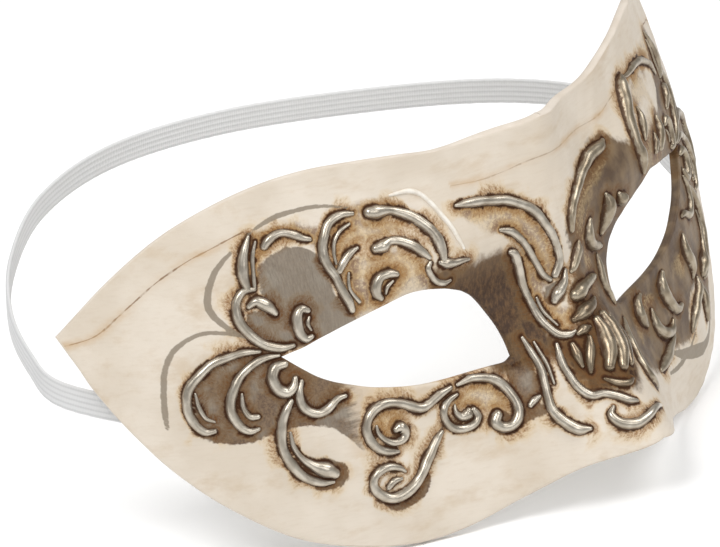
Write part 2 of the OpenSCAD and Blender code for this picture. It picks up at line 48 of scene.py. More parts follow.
# ---------------------------------------------------------------- drawn shapes
# Millimetres, the same round numbers as the CAD source.
TOP_SPOKES = [
  [[27, 9.2], [0, 39.9]], [[29.5, 10.4], [7.5, 39.1]], [[32.5, 11.6], [15, 38.2]], [[37, 12.6], [25, 38.1]],
  [[41, 12.7], [34, 39.3]], [[46, 11.3], [43, 40.2]], [[51, 9.8], [53, 40.6]],
  [[55.5, 8.5], [62, 39.4]], [[59.5, 7.3], [71, 36.4]], [[62.5, 6.3], [80, 31.6]],
  [[65, 5.7], [89, 24.2]], [[66.8, 5.2], [97.6, 15]]
]
LOW_SPOKES = [
  [[66.8, 5.2], [97.6, 15]], [[65.2, 3.4], [96.4, 9]], [[63.4, 1.5], [95, 2.5]],
  [[61.2, -0.6], [91.8, -6.5]], [[58.4, -2.5], [87.2, -15.6]],
  [[54.8, -4.2], [80.4, -24.4]], [[51, -5.8], [71, -32.6]],
  [[46, -7.2], [60, -37.3]], [[40.5, -8.3], [48, -39.6]],
  [[34.5, -8.9], [37, -38.8]], [[29.5, -9.1], [26, -35]],
  [[25, -9.1], [13.5, -29.6]], [[21, -9], [0, -26.1]]
]
MID_LOW = [[[21, -9], [0, -26.1]], [[19, -8.9], [0, -17]], [[17.2, -8.1], [0, -8]]];
mid_up = [
  [[17.2, -8.1], [0, -8]], [[17.3, -4.6], [0, 1]], [[18.4, -0.7], [0, 11]],
  [[20.9, 3.6], [0, 21]], [[23.7, 6.8], [0, 31]], [[27, 9.2], [0, 39.9]]
]
MID_UP = [
  [[17.2, -8.1], [0, -8]], [[17.3, -4.6], [0, 1]], [[18.4, -0.7], [0, 11]],
  [[20.9, 3.6], [0, 21]], [[23.7, 6.8], [0, 31]], [[27, 9.2], [0, 39.9]]
]
TEMPLE_LEAF = [
  [[66.1, 30, 0.4], [67.2, 27.8, 0.9], [68.3, 25.3, 1.2], [68.9, 22.6, 1.2], [68.9, 19.9, 0.8]],
  [[65.2, 28.8, 0.3], [66.6, 25.3, 0.5], [67.7, 20, 0.4]],
  [[67.9, 19.6, 0.5], [69.7, 19.5, 0.8], [71.4, 17.6, 1], [71.9, 14.8, 1.1], [71.4, 12, 1.1], [70.2, 9.8, 1.1], [68.4, 7.9, 1], [66.2, 6.9, 0.9], [64, 7, 0.5]],
  [[69.6, 16.4, 0.6], [68.2, 17.2, 1.1], [66.8, 16, 1.3], [65.6, 14.2, 0.7]],
  [[60, 13.5, 0.7], [61, 13.9, 1], [62, 12.8, 1.2], [62.4, 10.8, 1.2], [62.2, 8.9, 1.1], [61.4, 7.8, 0.9], [60.4, 8, 0.6]],
  [[60, 12, 0.3], [60.5, 10.8, 0.45], [60.2, 9.4, 0.3]],
  [[64, 27.6, 0.8], [63.1, 28.6, 1], [61.5, 29.5, 0.9], [60, 29.6, 0.85], [58.4, 28.9, 0.9], [57.1, 27.9, 0.7], [55.9, 27.4, 0.5]]
]
CHEEK_FERN = [
  [[70, 7.1, 0.4], [72.8, 7.4, 0.8], [75.6, 7, 0.9], [78.3, 6.1, 1], [81.1, 3.9, 1.1], [83.1, 1.2, 1.1], [83.8, -2.2, 1.1], [83.3, -5.3, 1], [82.2, -7.2, 0.9], [80.7, -7.3, 0.6]],
  [[82, 0.8, 0.3], [82, -1.9, 0.5], [81.5, -4.4, 0.5], [80.3, -5.4, 0.3]],
  [[67, 5.6, 0.4], [69.7, 5.5, 0.8], [72.2, 4.5, 0.9], [74.7, 2.3, 1], [76.6, -0.8, 1.1], [77.3, -4.1, 1.1], [76.7, -6.9, 1], [75.3, -8.5, 0.8], [73.7, -8.4, 0.5]],
  [[74.9, -0.8, 0.3], [75.2, -3.4, 0.6], [74.6, -5.6, 0.7], [73.3, -5.9, 0.6]],
  [[66.4, 3.6, 0.8], [68, 3.3, 1.1], [69.1, 1.4, 1.3], [68.8, -1, 1.3], [67.4, -2.1, 1.2], [66, -1.4, 1], [65.2, 0.2, 0.7]]
]
CHEEK_TAIL = [
  [[64.2, -0.6, 0.5], [65.2, -3, 0.9], [65, -6, 1], [63.2, -7.7, 1], [61, -7.4, 1], [58.6, -5.9, 0.8], [56.8, -5.6, 0.5]],
  [[67, -4.1, 0.6], [68.3, -5.8, 1], [69.7, -8.8, 1.1], [70.4, -12.2, 1.1], [70.1, -15.5, 1.1], [69, -18.4, 1.1], [67.2, -20.8, 1], [65, -22.2, 0.8], [62.8, -22.5, 0.4]],
  [[68.5, -10.4, 0.3], [68.5, -13.4, 0.6], [67.5, -16.3, 0.7], [65.7, -18.3, 1.1], [63.8, -19.6, 1.8], [62.3, -20.8, 1.2]]
]
BROW_SCROLL = [
  [[46.6, 30.6, 0.5], [48.4, 30.9, 0.8], [50.2, 30.5, 1], [51.9, 29.4, 1], [53.2, 27.6, 1.1], [54.1, 25.5, 1.1], [54.5, 23.4, 1.1], [54.3, 21.3, 1], [53.6, 19.4, 1], [53.3, 17.3, 1], [52.9, 15.4, 1], [52.2, 13.4, 1], [51.9, 11.8, 0.8]],
  [[47.9, 28.8, 0.3], [50, 27.9, 0.45], [51.7, 26.1, 0.45], [52.6, 23.8, 0.4], [52.8, 21.8, 0.3]],
  [[48.2, 24, 0.4], [49.8, 23.3, 0.8], [51.3, 21.9, 0.9], [52.6, 20.3, 0.8]],
  [[51.2, 19.4, 0.3], [51.6, 17.8, 0.4], [51.6, 15.8, 0.4], [50.4, 13.2, 0.5]]
]
BROW_DROPS = [
  [[43.3, 30.1, 1.3], [41.8, 29.8, 1.5], [39.4, 29.6, 1], [37.4, 28.8, 1.1], [35.3, 27.3, 1.2], [33.5, 25.3, 1.3], [32.5, 23, 1.3], [32.1, 20.6, 1.2], [32.3, 18, 0.8]],
  [[44.8, 23.2, 1.1], [43.4, 23.3, 1.4], [41.8, 24, 0.9], [40, 23.8, 1], [38.2, 22.6, 1.1], [36.6, 20.9, 1], [35.4, 19.3, 0.6]],
  [[35.5, 18.2, 0.5], [36.2, 17.2, 0.7], [35.8, 15.6, 0.7], [34.6, 13.9, 0.7], [32.8, 12.9, 0.7], [31.2, 13, 0.4]],
  [[42.7, 17.5, 0.7], [44.1, 17.9, 1], [45.8, 17.4, 1.1], [46.8, 15.8, 1.2], [47, 14.2, 1.1], [46.3, 13, 0.7]],
  [[43.6, 16.2, 0.3], [44.8, 15.2, 0.45], [45.2, 13.9, 0.3]],
  [[33.2, 17.6, 0.6], [32, 17.1, 1.1], [30.2, 16.7, 0.9], [28.2, 16.6, 0.7], [26.2, 16.3, 0.4]]
]
BROW_ARC = [
  [[38, 32.3, 0.3], [35.8, 32.3, 0.5], [33, 31.9, 0.6], [31, 30.4, 0.6], [29.5, 27.6, 0.6], [28.3, 24.4, 0.6], [27.4, 21, 0.5], [26.9, 18.9, 0.3]]
]
BROW_ARC_LEFT = [
  [[42.2, 31.8, 0.4], [44, 31.4, 0.6], [46.4, 31.3, 0.8], [49, 31.1, 0.9], [52.2, 30.5, 0.9], [55.5, 29.4, 0.9], [58.8, 27.5, 0.8], [61.8, 25, 0.7], [64.2, 22.2, 0.4]]
]
LONG_SCROLL = [
  [[48.7, -19.8, 0.4], [50.7, -19.3, 0.9], [52.7, -18, 1], [54, -16, 1.1], [54.2, -13.7, 1.1], [53.3, -11.4, 1.1], [51.8, -10, 1.1], [50, -9.4, 1.1], [47.7, -9.6, 1], [45.4, -10.4, 1], [43.8, -11.4, 1.1], [42.3, -12.3, 1.1], [40.7, -12.5, 1.1], [38.7, -11.8, 1], [36.3, -11, 0.9], [33.8, -10.4, 0.6]],
  [[52, -13.4, 0.3], [51.9, -15, 0.5], [50.8, -16.8, 0.7], [49, -17.8, 0.8], [47, -17.5, 0.9], [46.2, -16.2, 1.1], [47, -15, 1.4], [48, -15.2, 0.8]],
  [[31.8, -10.3, 0.4], [29, -10, 0.8], [27, -10.2, 0.9], [24.7, -10.8, 1], [22.8, -12, 1.1], [21.5, -13.8, 1.1], [20.9, -16, 1.1], [21, -18, 1.1], [21.9, -19.8, 1.2], [23.4, -20.9, 1.2], [25.2, -20.8, 1.2], [26.2, -19.6, 1.3], [25.4, -18.4, 1.2]]
]
EYE_CURLS = [
  [[32.6, -12.2, 0.4], [34.7, -12.9, 0.7], [36.3, -14, 0.9], [36.8, -15.6, 0.9], [36.3, -17.4, 0.9], [35, -18.8, 0.9], [32.7, -19.4, 0.9], [30.5, -18.9, 0.9], [29.3, -17.6, 0.9], [29.8, -16.2, 0.7]],
  [[33.6, -14.2, 0.3], [33.8, -15.6, 0.6], [32.8, -16.8, 0.9], [31.3, -16.7, 1.3], [30.9, -16.2, 0.8]],
  [[38.2, -18.6, 0.5], [39.5, -19.6, 1], [41, -21, 1.1], [42.7, -23, 1.2], [44.4, -25.2, 1.2], [46.5, -27.2, 1.2], [49, -28.7, 1.3], [51.7, -29, 1.2], [54, -27.9, 1.1], [55.2, -26, 1.1], [54.8, -24, 1], [53.3, -22.7, 1], [51.3, -22.4, 0.9], [49.3, -23.2, 0.7], [48.2, -24.2, 0.4]],
  [[49.3, -25.5, 0.4], [51.1, -25.6, 0.8], [52.3, -26.6, 0.7]]
]
LONG_SCROLL_LEFT = [
  [[28.4, -10.8, 0.5], [26.4, -11.8, 1.2], [25.6, -13.2, 1.5], [25.9, -15, 1.4], [27.6, -17, 0.6]],
  [[32, -15.6, 0.5], [31.7, -17.4, 1.1], [32, -19.2, 1.4], [33.8, -21.2, 1.5], [36, -22.3, 1.3], [38.2, -22.4, 1.1], [39.8, -21.2, 0.6]],
  [[40.4, -10.8, 0.6], [38.8, -12.2, 1.3], [38.6, -14.2, 1.6], [39.6, -16.6, 1.6], [41.4, -18.8, 1.4], [43.6, -20.2, 1.1], [45.6, -20.2, 0.6]],
  [[54.6, -8.8, 0.5], [53.8, -10.8, 1.3], [54.1, -12.8, 1.6], [55.4, -15.2, 1.5], [56, -17.2, 1.1], [55.6, -18.6, 0.5]]
]
EYE_CURLS_LEFT = [
  [[58.2, -20.2, 0.6], [57.4, -21.8, 1.3], [55.8, -23.1, 1.3], [53.4, -24.2, 1.3], [51, -25.4, 1.2], [48.6, -27.4, 0.6]],
  [[59.6, -22.6, 0.6], [59.6, -24.8, 1.2], [59.2, -27.4, 1.3], [59.4, -30, 0.7]],
  [[39, -23.9, 0.4], [35.6, -25, 1.1], [32, -25.7, 1.3], [28.8, -26, 1.1], [26, -25.7, 0.6]]
]
BROW_SCROLL_LEFT = [
  [[52.6, 18.6, 0.6], [51.8, 16.9, 1.4], [50.7, 15, 1.6], [49.6, 13.5, 1.1]],
  [[47.4, 17.4, 0.5], [46.6, 16, 1.1], [45.6, 14.6, 0.8]],
  [[42.4, 25.2, 0.5], [41.9, 23.6, 1.1], [41, 21.8, 1.2], [40, 20, 0.6]]
]
NOSE_LEAF = [
  [[24.6, 26.8, 0.4], [22.5, 26.6, 0.9], [19.5, 26.1, 1.1], [16, 25.5, 1.1], [12, 24.5, 1.1], [8.6, 22.8, 1.1], [6.1, 20.4, 1.1], [4.6, 17.5, 1.1], [3.3, 14.5, 1], [2.5, 11.5, 1], [2.6, 8.7, 1], [4, 6.3, 0.9]],
  [[5.4, 5.6, 0.6], [6.9, 7.2, 0.8], [8, 10, 0.8], [9.3, 13, 0.8], [11, 16, 0.9], [13, 18.1, 0.9], [15.7, 19.3, 0.5]],
  [[14, 14, 0.6], [12.8, 13, 1.1], [12, 10, 1.1], [11.5, 7, 1], [11, 4, 0.9], [10.3, 0.5, 0.9], [9.5, -2.8, 0.9], [8.1, -5, 0.9], [6.2, -5.5, 0.8], [4.8, -5.1, 0.4]],
  [[9.1, 2.4, 0.3], [8.7, -0.6, 0.45], [7.4, -3.4, 0.3]]
]
NOSE_LEAF_LEFT = [
  [[23.6, 25.6, 0.6], [22, 25, 1.3], [19.6, 24.9, 1.5], [16.6, 24.4, 1.5], [13.4, 23.4, 1.4], [10.6, 22.2, 1.3], [7.6, 20.8, 1.3], [4.6, 18.8, 1.2], [3.2, 16.4, 1.1], [3, 14, 0.8]],
  [[12.2, 12.4, 0.6], [11, 11.2, 1.3], [10.4, 9.8, 1.6], [11.2, 8, 1.6], [13, 6.4, 1.4], [15, 5.3, 1.2], [17, 4.5, 0.6]],
  [[19.2, 15.6, 0.6], [19.8, 13.8, 1.6], [19.5, 12, 1.9], [18.8, 9.8, 1.6], [17.6, 7.4, 0.7]],
  [[24, 14, 0.7], [24.8, 12.8, 1.7], [25.2, 12, 1.4]],
  [[14.6, 3.4, 0.5], [14.2, 2, 0.9], [14, 0.2, 1.1], [13.8, -2, 1.1], [14.3, -3.8, 1], [15.2, -5.6, 0.9], [15.9, -7.2, 0.5]]
]
NOSE_DROP = [
  [[18.6, -17.6, 0.6], [17.6, -16.8, 0.8], [16.5, -16.2, 0.5]],
  [[14.6, -4.8, 0.4], [14, -8, 0.8], [13.9, -11.4, 0.9], [14.5, -14, 0.9], [15.2, -16.5, 1], [15.5, -19, 1.1], [14.8, -21.3, 1.3], [13.3, -22.8, 1.3], [11.5, -22.9, 0.5]],
  [[12.8, -6, 0.3], [12.5, -10, 0.45], [13, -14, 0.3]]
]
NOSE_DROP_LEFT = [
  [[17, -11, 0.4], [15, -12, 0.9], [13.2, -13.2, 1.2], [11.6, -15, 1.2], [10.6, -17, 1.3], [10.9, -19.4, 1.3], [12.8, -21.8, 1.1], [15, -23.6, 0.6]]
]
NOSE_SCROLL = [
  [[9.2, -7, 0.5], [9.8, -9.6, 0.9], [10, -12.5, 0.9], [9.7, -15, 1], [8.4, -16.8, 1], [6.3, -16.7, 0.9], [4.3, -17.4, 0.9], [2.7, -18.5, 0.9], [1.2, -18.9, 0.5]],
  [[5.8, 1.2, 0.8], [4.8, 2.3, 1.4], [3.4, 3.4, 1.2], [2, 4.8, 0.8], [1.2, 6.4, 0.5]]
]
NOSE_SCROLL_LEFT = [
  [[10.4, 0.8, 0.5], [8, 1.3, 1], [5.4, 1.7, 1.2], [2.8, 1.7, 1.4], [0.6, 1.4, 1.8], [-0.8, 1.2, 1.5]],
  [[5, 10.4, 0.6], [4, 9.2, 1.3], [2.9, 8.1, 1.3], [1.8, 7, 1.1], [0.8, 6, 0.8], [0.2, 5.6, 0.4]]
]
PALMETTE = [
  [[5, -1.5, 0.5], [2.2, -1.9, 1.3], [-1, -2.3, 1.6], [-3.8, -3, 0.7]],
  [[-1.4, -5, 0.5], [-2.9, -5.1, 1.2], [-4.4, -5.6, 0.6]],
  [[-6.6, -7.4, 0.6], [-6.8, -9.4, 1.1], [-7, -11.4, 0.5]],
  [[-2.8, -6.8, 0.7], [-4, -8.8, 1.2], [-5.3, -10.9, 1], [-6.2, -12.6, 0.5]],
  [[1.6, -4.6, 1.1], [1.2, -7.4, 1.9], [-0.3, -10, 1.9], [-2.2, -12.2, 1.2]],
  [[4.8, -4.8, 1.1], [4.7, -7.8, 2], [3.2, -10.8, 2], [1, -13, 1.2]],
  [[7.4, -6.4, 0.9], [7.4, -9.2, 1.5], [6.2, -11.8, 1.5], [4.3, -13.6, 0.9]],
  [[-4.6, -14.2, 0.4], [-2.8, -15.2, 0.8], [-0.6, -15.8, 0.8], [1.4, -15.6, 0.4]]
]
CRESCENT = [
  [[-6.1, -19.2, 0.4], [-7.2, -20.6, 0.9], [-6.4, -22.3, 1.2], [-4.2, -22.7, 1.2], [-1.5, -22, 1.1], [1.6, -21.5, 0.9], [4.4, -21.8, 0.7], [6.4, -22.8, 0.4]]
]
BAND_FREE = [
  [95, 61, -4.5], [92, 72, -1.5], [80, 88.6, 0], [58.5, 108, 0], [30, 125.4, 0]
]

# Patches of paint on one side, as outlines of [distance from the middle, height].
PETAL = [[66.8, 20.5], [66.2, 23.6], [63.6, 25.6], [60.3, 26.7], [57, 25.8], [55.6, 23.8], [55.1, 20.2], [54.4, 15.5], [53, 12.3], [51, 8.6], [56, 6.6], [59.7, 6.8], [61.5, 6.8], [63.2, 9.5], [64.6, 13.4], [65.4, 16], [66.6, 18]]
PETAL_LOW = [[70.8, 13.6], [69.6, 15.2], [67, 14.9], [64.8, 14], [63, 10.4], [61.4, 6.4], [65, 7], [68, 8], [70.2, 10.4]]
CHEEK = [[82.4, 4], [79.4, 5.8], [75.5, 6.6], [71, 6.8], [67, 6], [64.6, 3.2], [62.5, 2], [59, -0.4], [56, -2.2], [54.2, -3.4], [53.2, -5.6], [53.4, -7.6], [54.2, -9.4], [54.8, -11.5], [55.2, -14.5], [55.6, -17.6], [57.8, -14.6], [61, -11.4], [64.4, -10], [68.4, -9.7], [72.2, -10.2], [75, -10.9], [78.4, -10.6], [80.8, -9.8], [83.2, -7.6], [83.8, -3], [83.4, 1.6]]
TEAR = [[64.4, -17.2], [62, -17.9], [60.2, -19.2], [59.4, -20.8], [59.9, -22.6], [61.6, -23.8], [64.6, -23.9], [66.4, -22.8]]
UNDER = [[53.6, -29.6], [50, -29.6], [46.6, -27.6], [44, -25.4], [43, -26.2], [43.6, -28.6], [46, -30.8], [49.6, -32], [52.6, -31.4]]
BALLS = [[27.4, -19.4], [26.6, -21.8], [24.6, -22.5], [22.4, -21.9], [19.6, -20.4], [17.2, -19.6], [15.8, -18.4], [17.6, -17], [20, -17.6], [22, -19], [24.4, -17.2], [26.6, -17.4]]
SIDE = [[20.4, -9.6], [18.2, -9.6], [15.4, -8.4], [14.9, -12], [15.8, -15.6], [18, -16.6], [19.6, -17.6], [20.2, -14.5]]
SPOT = [[7.4, 3.2], [5.8, 4.6], [3, 4.8], [2.2, 3.2], [3.8, 0.8], [6, 0.2], [7.6, 1.2]]
WASH_NOSE = [[34.4, 16.4], [30, 16.2], [25.5, 15.2], [20, 15.2], [13.6, 14.2], [12, 8], [10.8, 2], [9.2, -4], [8, -8.4], [9.6, -9.6], [12.6, -9.8], [15, -10.4], [18, -10.6], [22.6, -10.6], [23, -6], [22, -3], [23, 0], [25, 3], [28, 6], [31, 8], [36, 10], [36, 13]]
WASH_LEAF = [[24.4, 26.2], [16, 24.6], [10, 22.4], [6.6, 19], [5, 15], [3.8, 10], [4.8, 6.8], [7, 8.4], [8.6, 12.6], [11, 16.4], [14, 18.6], [19, 20], [22.6, 23]]
WASH_LEAF2 = [[14.6, 18], [12, 15.4], [11.4, 11], [10.8, 6], [9.6, 0], [8, -4], [5, -4.6], [3.4, -1], [6.6, 0], [7.8, 3.4], [6.2, 5.6], [8.2, 9], [10, 14], [12.6, 17.6]]
WASH_BROW = [[53.6, 22.4], [52.6, 26.6], [50, 29.4], [47, 30.4], [44, 28.6], [40.6, 28], [37, 26.4], [41, 25.4], [46, 24.8], [49, 24.6], [51.6, 22.6], [53, 21]]
WASH_EYE = [[52.6, 19.4], [50, 22.2], [46, 22], [42.6, 21.8], [38.8, 21], [36.8, 18.6], [36.2, 14.8], [34.4, 12.6], [38, 12.9], [42.6, 12.6], [47, 11.2], [51.4, 9.9], [52.6, 13]]
WASH_CURL = [[52, -11.6], [49.6, -10.8], [46, -11.6], [45, -13.4], [47, -13.6], [49.2, -15.4], [50.4, -16.2], [51.6, -14.6]]
WASH_HEART = [[34.6, -13.4], [31, -12], [27.6, -11.2], [24.2, -12.4], [22.2, -15], [22, -18.2], [24, -17.4], [27, -16.8], [29.6, -15.2], [33, -14.8]]
WASH_ROSE = [[9.4, -6.6], [5, -5.4], [0, -3.6], [-1, -8], [-1, -14.6], [3, -16.4], [7.6, -16.2], [9.6, -13.6]]
WASH_TEMPLE = [[69.6, 20], [69, 25], [67, 29.2], [63, 30.6], [57, 30], [54, 28.8], [54.6, 25], [57, 27.6], [61.6, 27.6], [65.2, 25.2], [66.6, 21.2]]
WASH_TOP = [[67.6, 29.2], [64.8, 30.6], [58, 31], [53.6, 29.6], [50.6, 31.6], [46.6, 31.8], [43.6, 32], [39, 31.4], [36, 29.8], [40, 29.2], [46, 29.8], [52, 28.6], [57, 28.4], [64, 28.8]]
# The wearer's left side carries more bronze paint, so these count there only.
LEFT_BRONZE = [[9, -6], [12.5, -12], [14.8, -18], [18, -21.6], [24, -25], [31, -26.8], [36, -26.2], [41, -27], [46, -28.4], [49.6, -26.8], [48.6, -24], [52, -21], [56, -20.4], [59, -22.4], [60.4, -26], [61, -31], [63.5, -31.5], [66, -27], [69, -21], [72, -12], [78, -10.6], [85, -6], [85, 3], [80, 8], [74, 12], [73, 20], [70, 28], [66.4, 31.4], [64, 27.6], [62.4, 24.4], [60.6, 20.6], [57, 18.4], [53, 19.8], [48, 19], [44, 19.4], [40.6, 19.6], [38.4, 22.4], [37.8, 25.6], [38.8, 29], [40.6, 31.4], [39.6, 33.4], [37.4, 32], [35.4, 29], [34.4, 25.6], [33.4, 22.6], [31, 22.8], [27.4, 24.8], [25.2, 26.8], [20, 27], [14, 25.6], [8, 23.2], [4, 20.4], [1.6, 16], [1.2, 12.6], [2.2, 8], [1.6, 5], [-1.4, 2.6], [-3.4, -2], [-1.6, -5.2], [-0.6, -9], [-2.6, -13], [1, -15.4], [6, -14.6], [8.4, -10]]
# The dark glaze in the middle of the nose: [x, height].
NOSE_HEART = [[-11, -6.4], [-8, -6.2], [-4, -4], [0, -2.8], [4, -0.6], [9, -3.4], [9, -9], [7.6, -14], [4.6, -16.6], [0, -17], [-4, -16.2], [-7.6, -16], [-9.4, -12.6], [-9.4, -9]]


# Painted flat lines: [distance from the middle, height, half width].
GREY_LINES = [
  [[69.6, 27.5, 0.3], [71.6, 25.8, 0.4], [73.5, 23.6, 0.5], [75.2, 20.4, 0.55], [75.9, 17, 0.6], [74.8, 14, 0.55], [72.8, 11.4, 0.4], [71.6, 10.4, 0.25]],
  [[72, 10.6, 0.2], [73.4, 11.4, 0.35], [75.4, 12.1, 0.4], [77.8, 12.5, 0.4], [80.6, 11.7, 0.4], [83.4, 9.6, 0.45], [85.3, 6.2, 0.45], [86.4, 2, 0.45], [87.1, -2, 0.45], [87.4, -5.4, 0.3]],
  [[66, 30.4, 0.2], [63.6, 31.8, 0.35], [60.6, 33, 0.5], [57.6, 33.4, 0.45], [54.4, 33.6, 0.4], [51.2, 33.2, 0.35], [48.2, 32.3, 0.25], [46.4, 31.6, 0.15]]
]
CREASE = [[97, 13.2, 0.05], [92.8, 14.6, 0.08], [88.1, 18.7, 0.1], [83.3, 22.8, 0.1], [80, 25.1, 0.12], [76.1, 27.3, 0.12], [72.8, 28.7, 0.14], [69.4, 30.1, 0.18], [66.4, 31.2, 0.2]]
CREASE_TOP = [[-24, 30.6, 0.05], [-16.5, 29.8, 0.14], [-11, 30.2, 0.3], [-7.2, 31, 0.34], [-3, 31.6, 0.16], [3, 31.4, 0.1], [9.5, 30.8, 0.12], [17, 30.4, 0.1], [26, 30, 0.1], [36, 31.4, 0.08], [46, 31.2, 0.06]]

GROUPS = {
    "temple_leaf": TEMPLE_LEAF, "cheek_fern": CHEEK_FERN, "cheek_tail": CHEEK_TAIL,
    "brow_scroll": BROW_SCROLL, "brow_drops": BROW_DROPS, "brow_arc": BROW_ARC,
    "long_scroll": LONG_SCROLL, "eye_curls": EYE_CURLS, "nose_leaf": NOSE_LEAF,
    "nose_drop": NOSE_DROP, "nose_scroll": NOSE_SCROLL,
}
BROW_DROPS_LEFT = [
  [[40.6, 32.4, 0.8], [39.2, 31.4, 1.8], [37.8, 29.8, 2], [36.7, 27.8, 1.9], [35.6, 25.5, 1.7], [35, 23.2, 1.5], [34.8, 21, 1.4], [35.2, 18.8, 1.6], [35.2, 16.6, 1.4], [35.4, 14.8, 0.8]]
]
NODES = []  # (CAD node, strokes, side, ivory or not)
for g, strokes in GROUPS.items():
    NODES.append(("right_" + g, strokes, R, g == "brow_arc"))
    far = {"brow_drops": BROW_DROPS_LEFT, "brow_arc": BROW_ARC_LEFT, "long_scroll": LONG_SCROLL_LEFT,
           "eye_curls": EYE_CURLS_LEFT, "nose_leaf": NOSE_LEAF_LEFT, "nose_drop": NOSE_DROP_LEFT,
           "nose_scroll": NOSE_SCROLL_LEFT, "brow_scroll": BROW_SCROLL_LEFT, "temple_leaf": TEMPLE_LEAF[:6]}.get(g, strokes)
    NODES.append(("left_" + g, far, L, False))
NODES.append(("nose_palmette", PALMETTE, L, False))
NODES.append(("nose_crescent", CRESCENT, L, False))

SHELL_T, TIP_RISE = 2.0, 5.0
BAND_Z, BAND_START, TAB_LEN, TAB_HIGH, TAB_T = -7.0, 82.0, 13.0, 12.0, 2.6
BAND_W, BAND_T, BAND_REACH = 6.0, 1.0, 132.0


# ------------------------------------------------------------------ the surface
def smooth(t):
    c = np.clip(t, 0, 1)
    return c * c * (3 - 2 * c)


def front_y(x, z):
    u, w = np.abs(x) / 100, z / 50
    s = smooth((8 - z) / 46)
    nose = -(6 + 20.5 * s) * np.exp(-np.power(np.abs(x) / (11.5 + 8.5 * s), 2 - 0.3 * s))
    return (29 * u**2 + 21 * u**4 + 12.5 * w - 2 * w**2 - 1.5 * w**3 + 7 * u**2 * w
            + 14 * u**2 * w**2 - 5.5 * np.exp(-((np.abs(x) - 30) / 22) ** 2 - ((z - 18) / 11) ** 2) + nose)


_z = np.array([0.0, 0.4, -0.4])
_f = front_y(np.zeros(3), _z)
Y0 = float(-_f[0] - SHELL_T * math.hypot(1, (_f[1] - _f[2]) / 0.8))


def rise(x):
    return TIP_RISE * (x / 97) ** 3


def front(x, z):
    return np.stack([x, front_y(x, z) + Y0, z + rise(x)], -1)


def unit(v):
    return v / np.maximum(np.linalg.norm(v, axis=-1, keepdims=True), 1e-12)


def normal(x, z, e=0.4):
    a = front(x + e, z) - front(x - e, z)
    b = front(x, z + e) - front(x, z - e)
    return unit(np.cross(a, b))


def depth(x, z, d):
    n = normal(x, z)
    q = smooth((np.abs(x) - 12) / 10)[..., None]
    back = np.zeros_like(n)
    back[..., 1] = np.minimum(2.6, -1 / n[..., 1])
    return front(x, z) + np.asarray(d)[..., None] * (-q * n + (1 - q) * back)


def waves(x, z):
    """The hand-laid unevenness of the pulp, in mm."""
    return (0.10 * np.sin(x * 0.21 + 1.3 * np.sin(z * 0.11)) * np.sin(z * 0.27 + 0.6)
            + 0.06 * np.sin(x * 0.47 - z * 0.38 + 2.0) + 0.03 * np.sin(x * 0.9 + z * 1.1)
            + 0.025 * np.sin(x * 1.3 - z * 0.7 + 4.0))


def skin(x, z):
    return front(x, z) + normal(x, z) * waves(x, z)[..., None]


def curve(P, m):
    """Catmull-Rom through P, m steps to each span."""
    P = np.asarray(P, float)
    A = np.concatenate([P[:1], P, P[-1:]])
    t = (np.arange(m) / m).reshape((1, m) + (1,) * (P.ndim - 1))
    a, b, c, d = (A[i:len(P) - 1 + i][:, None] for i in range(4))
    out = 0.5 * (2 * b + (c - a) * t + (2 * a - 5 * b + 4 * c - d) * t**2 + (3 * b - a - 3 * c + d) * t**3)
    return np.concatenate([out.reshape((-1,) + P.shape[1:]), P[-1:]])


def make_mesh(name, verts, faces, mats, face_mat=None, attrs=None, smooth_faces=True):
    """A piece from points in mm. Faces are lists of 3 or more indices, or an (n, 4) array."""
    me = bpy.data.meshes.new(name)
    verts = np.asarray(verts, float) * MM
    flat, sizes = [], []
    for block in faces:
        block = np.asarray(block)
        flat.append(block.ravel())
        sizes.append(np.full(len(block), block.shape[1]))
    flat, sizes = np.concatenate(flat), np.concatenate(sizes)
    me.vertices.add(len(verts))
    me.vertices.foreach_set("co", verts.astype(np.float32).ravel())
    me.loops.add(len(flat))
    me.loops.foreach_set("vertex_index", flat.astype(np.int32))
    me.polygons.add(len(sizes))
    me.polygons.foreach_set("loop_start", np.concatenate([[0], np.cumsum(sizes)[:-1]]).astype(np.int32))
    me.update(calc_edges=True)
    for m in mats:
        me.materials.append(m)
    if face_mat is not None:
        me.polygons.foreach_set("material_index", np.asarray(face_mat, np.int32))
    if smooth_faces:
        me.polygons.foreach_set("use_smooth", np.ones(len(sizes), bool))
    for k, v in (attrs or {}).items():
        me.attributes.new(k, "FLOAT", "POINT").data.foreach_set("value", np.asarray(v, np.float32))
    me.validate()
    o = bpy.data.objects.new(name, me)
    scene.collection.objects.link(o)
    return o


# ---------------------------------------------------------------------- camera
AZ, EL, ROLL = math.radians(-48.876), math.radians(23.279), math.radians(-1.961)
TARGET = np.array([0, 54.163 + Y0, -9.774])
back = np.array([math.sin(AZ) * math.cos(EL), -math.cos(AZ) * math.cos(EL), math.sin(EL)])
right = np.array([math.cos(AZ), math.sin(AZ), 0])
up = np.cross(back, right)
r2 = right * math.cos(ROLL) + up * math.sin(ROLL)
u2 = -right * math.sin(ROLL) + up * math.cos(ROLL)
DIST, SCALE = 1744.56, 4.593884
cam_data = bpy.data.cameras.new("camera")
cam_data.sensor_width = 36
cam_data.lens = DIST * SCALE / 720 * 36
cam_data.clip_start, cam_data.clip_end = 0.05, 60
cam = bpy.data.objects.new("camera", cam_data)
scene.collection.objects.link(cam)
pos = (TARGET + back * DIST) * MM
cam.matrix_world = Matrix(((r2[0], u2[0], back[0], pos[0]), (r2[1], u2[1], back[1], pos[1]),
                           (r2[2], u2[2], back[2], pos[2]), (0, 0, 0, 1)))
scene.camera = cam
scene.view_settings.view_transform = "Standard"
scene.view_settings.look = "None"


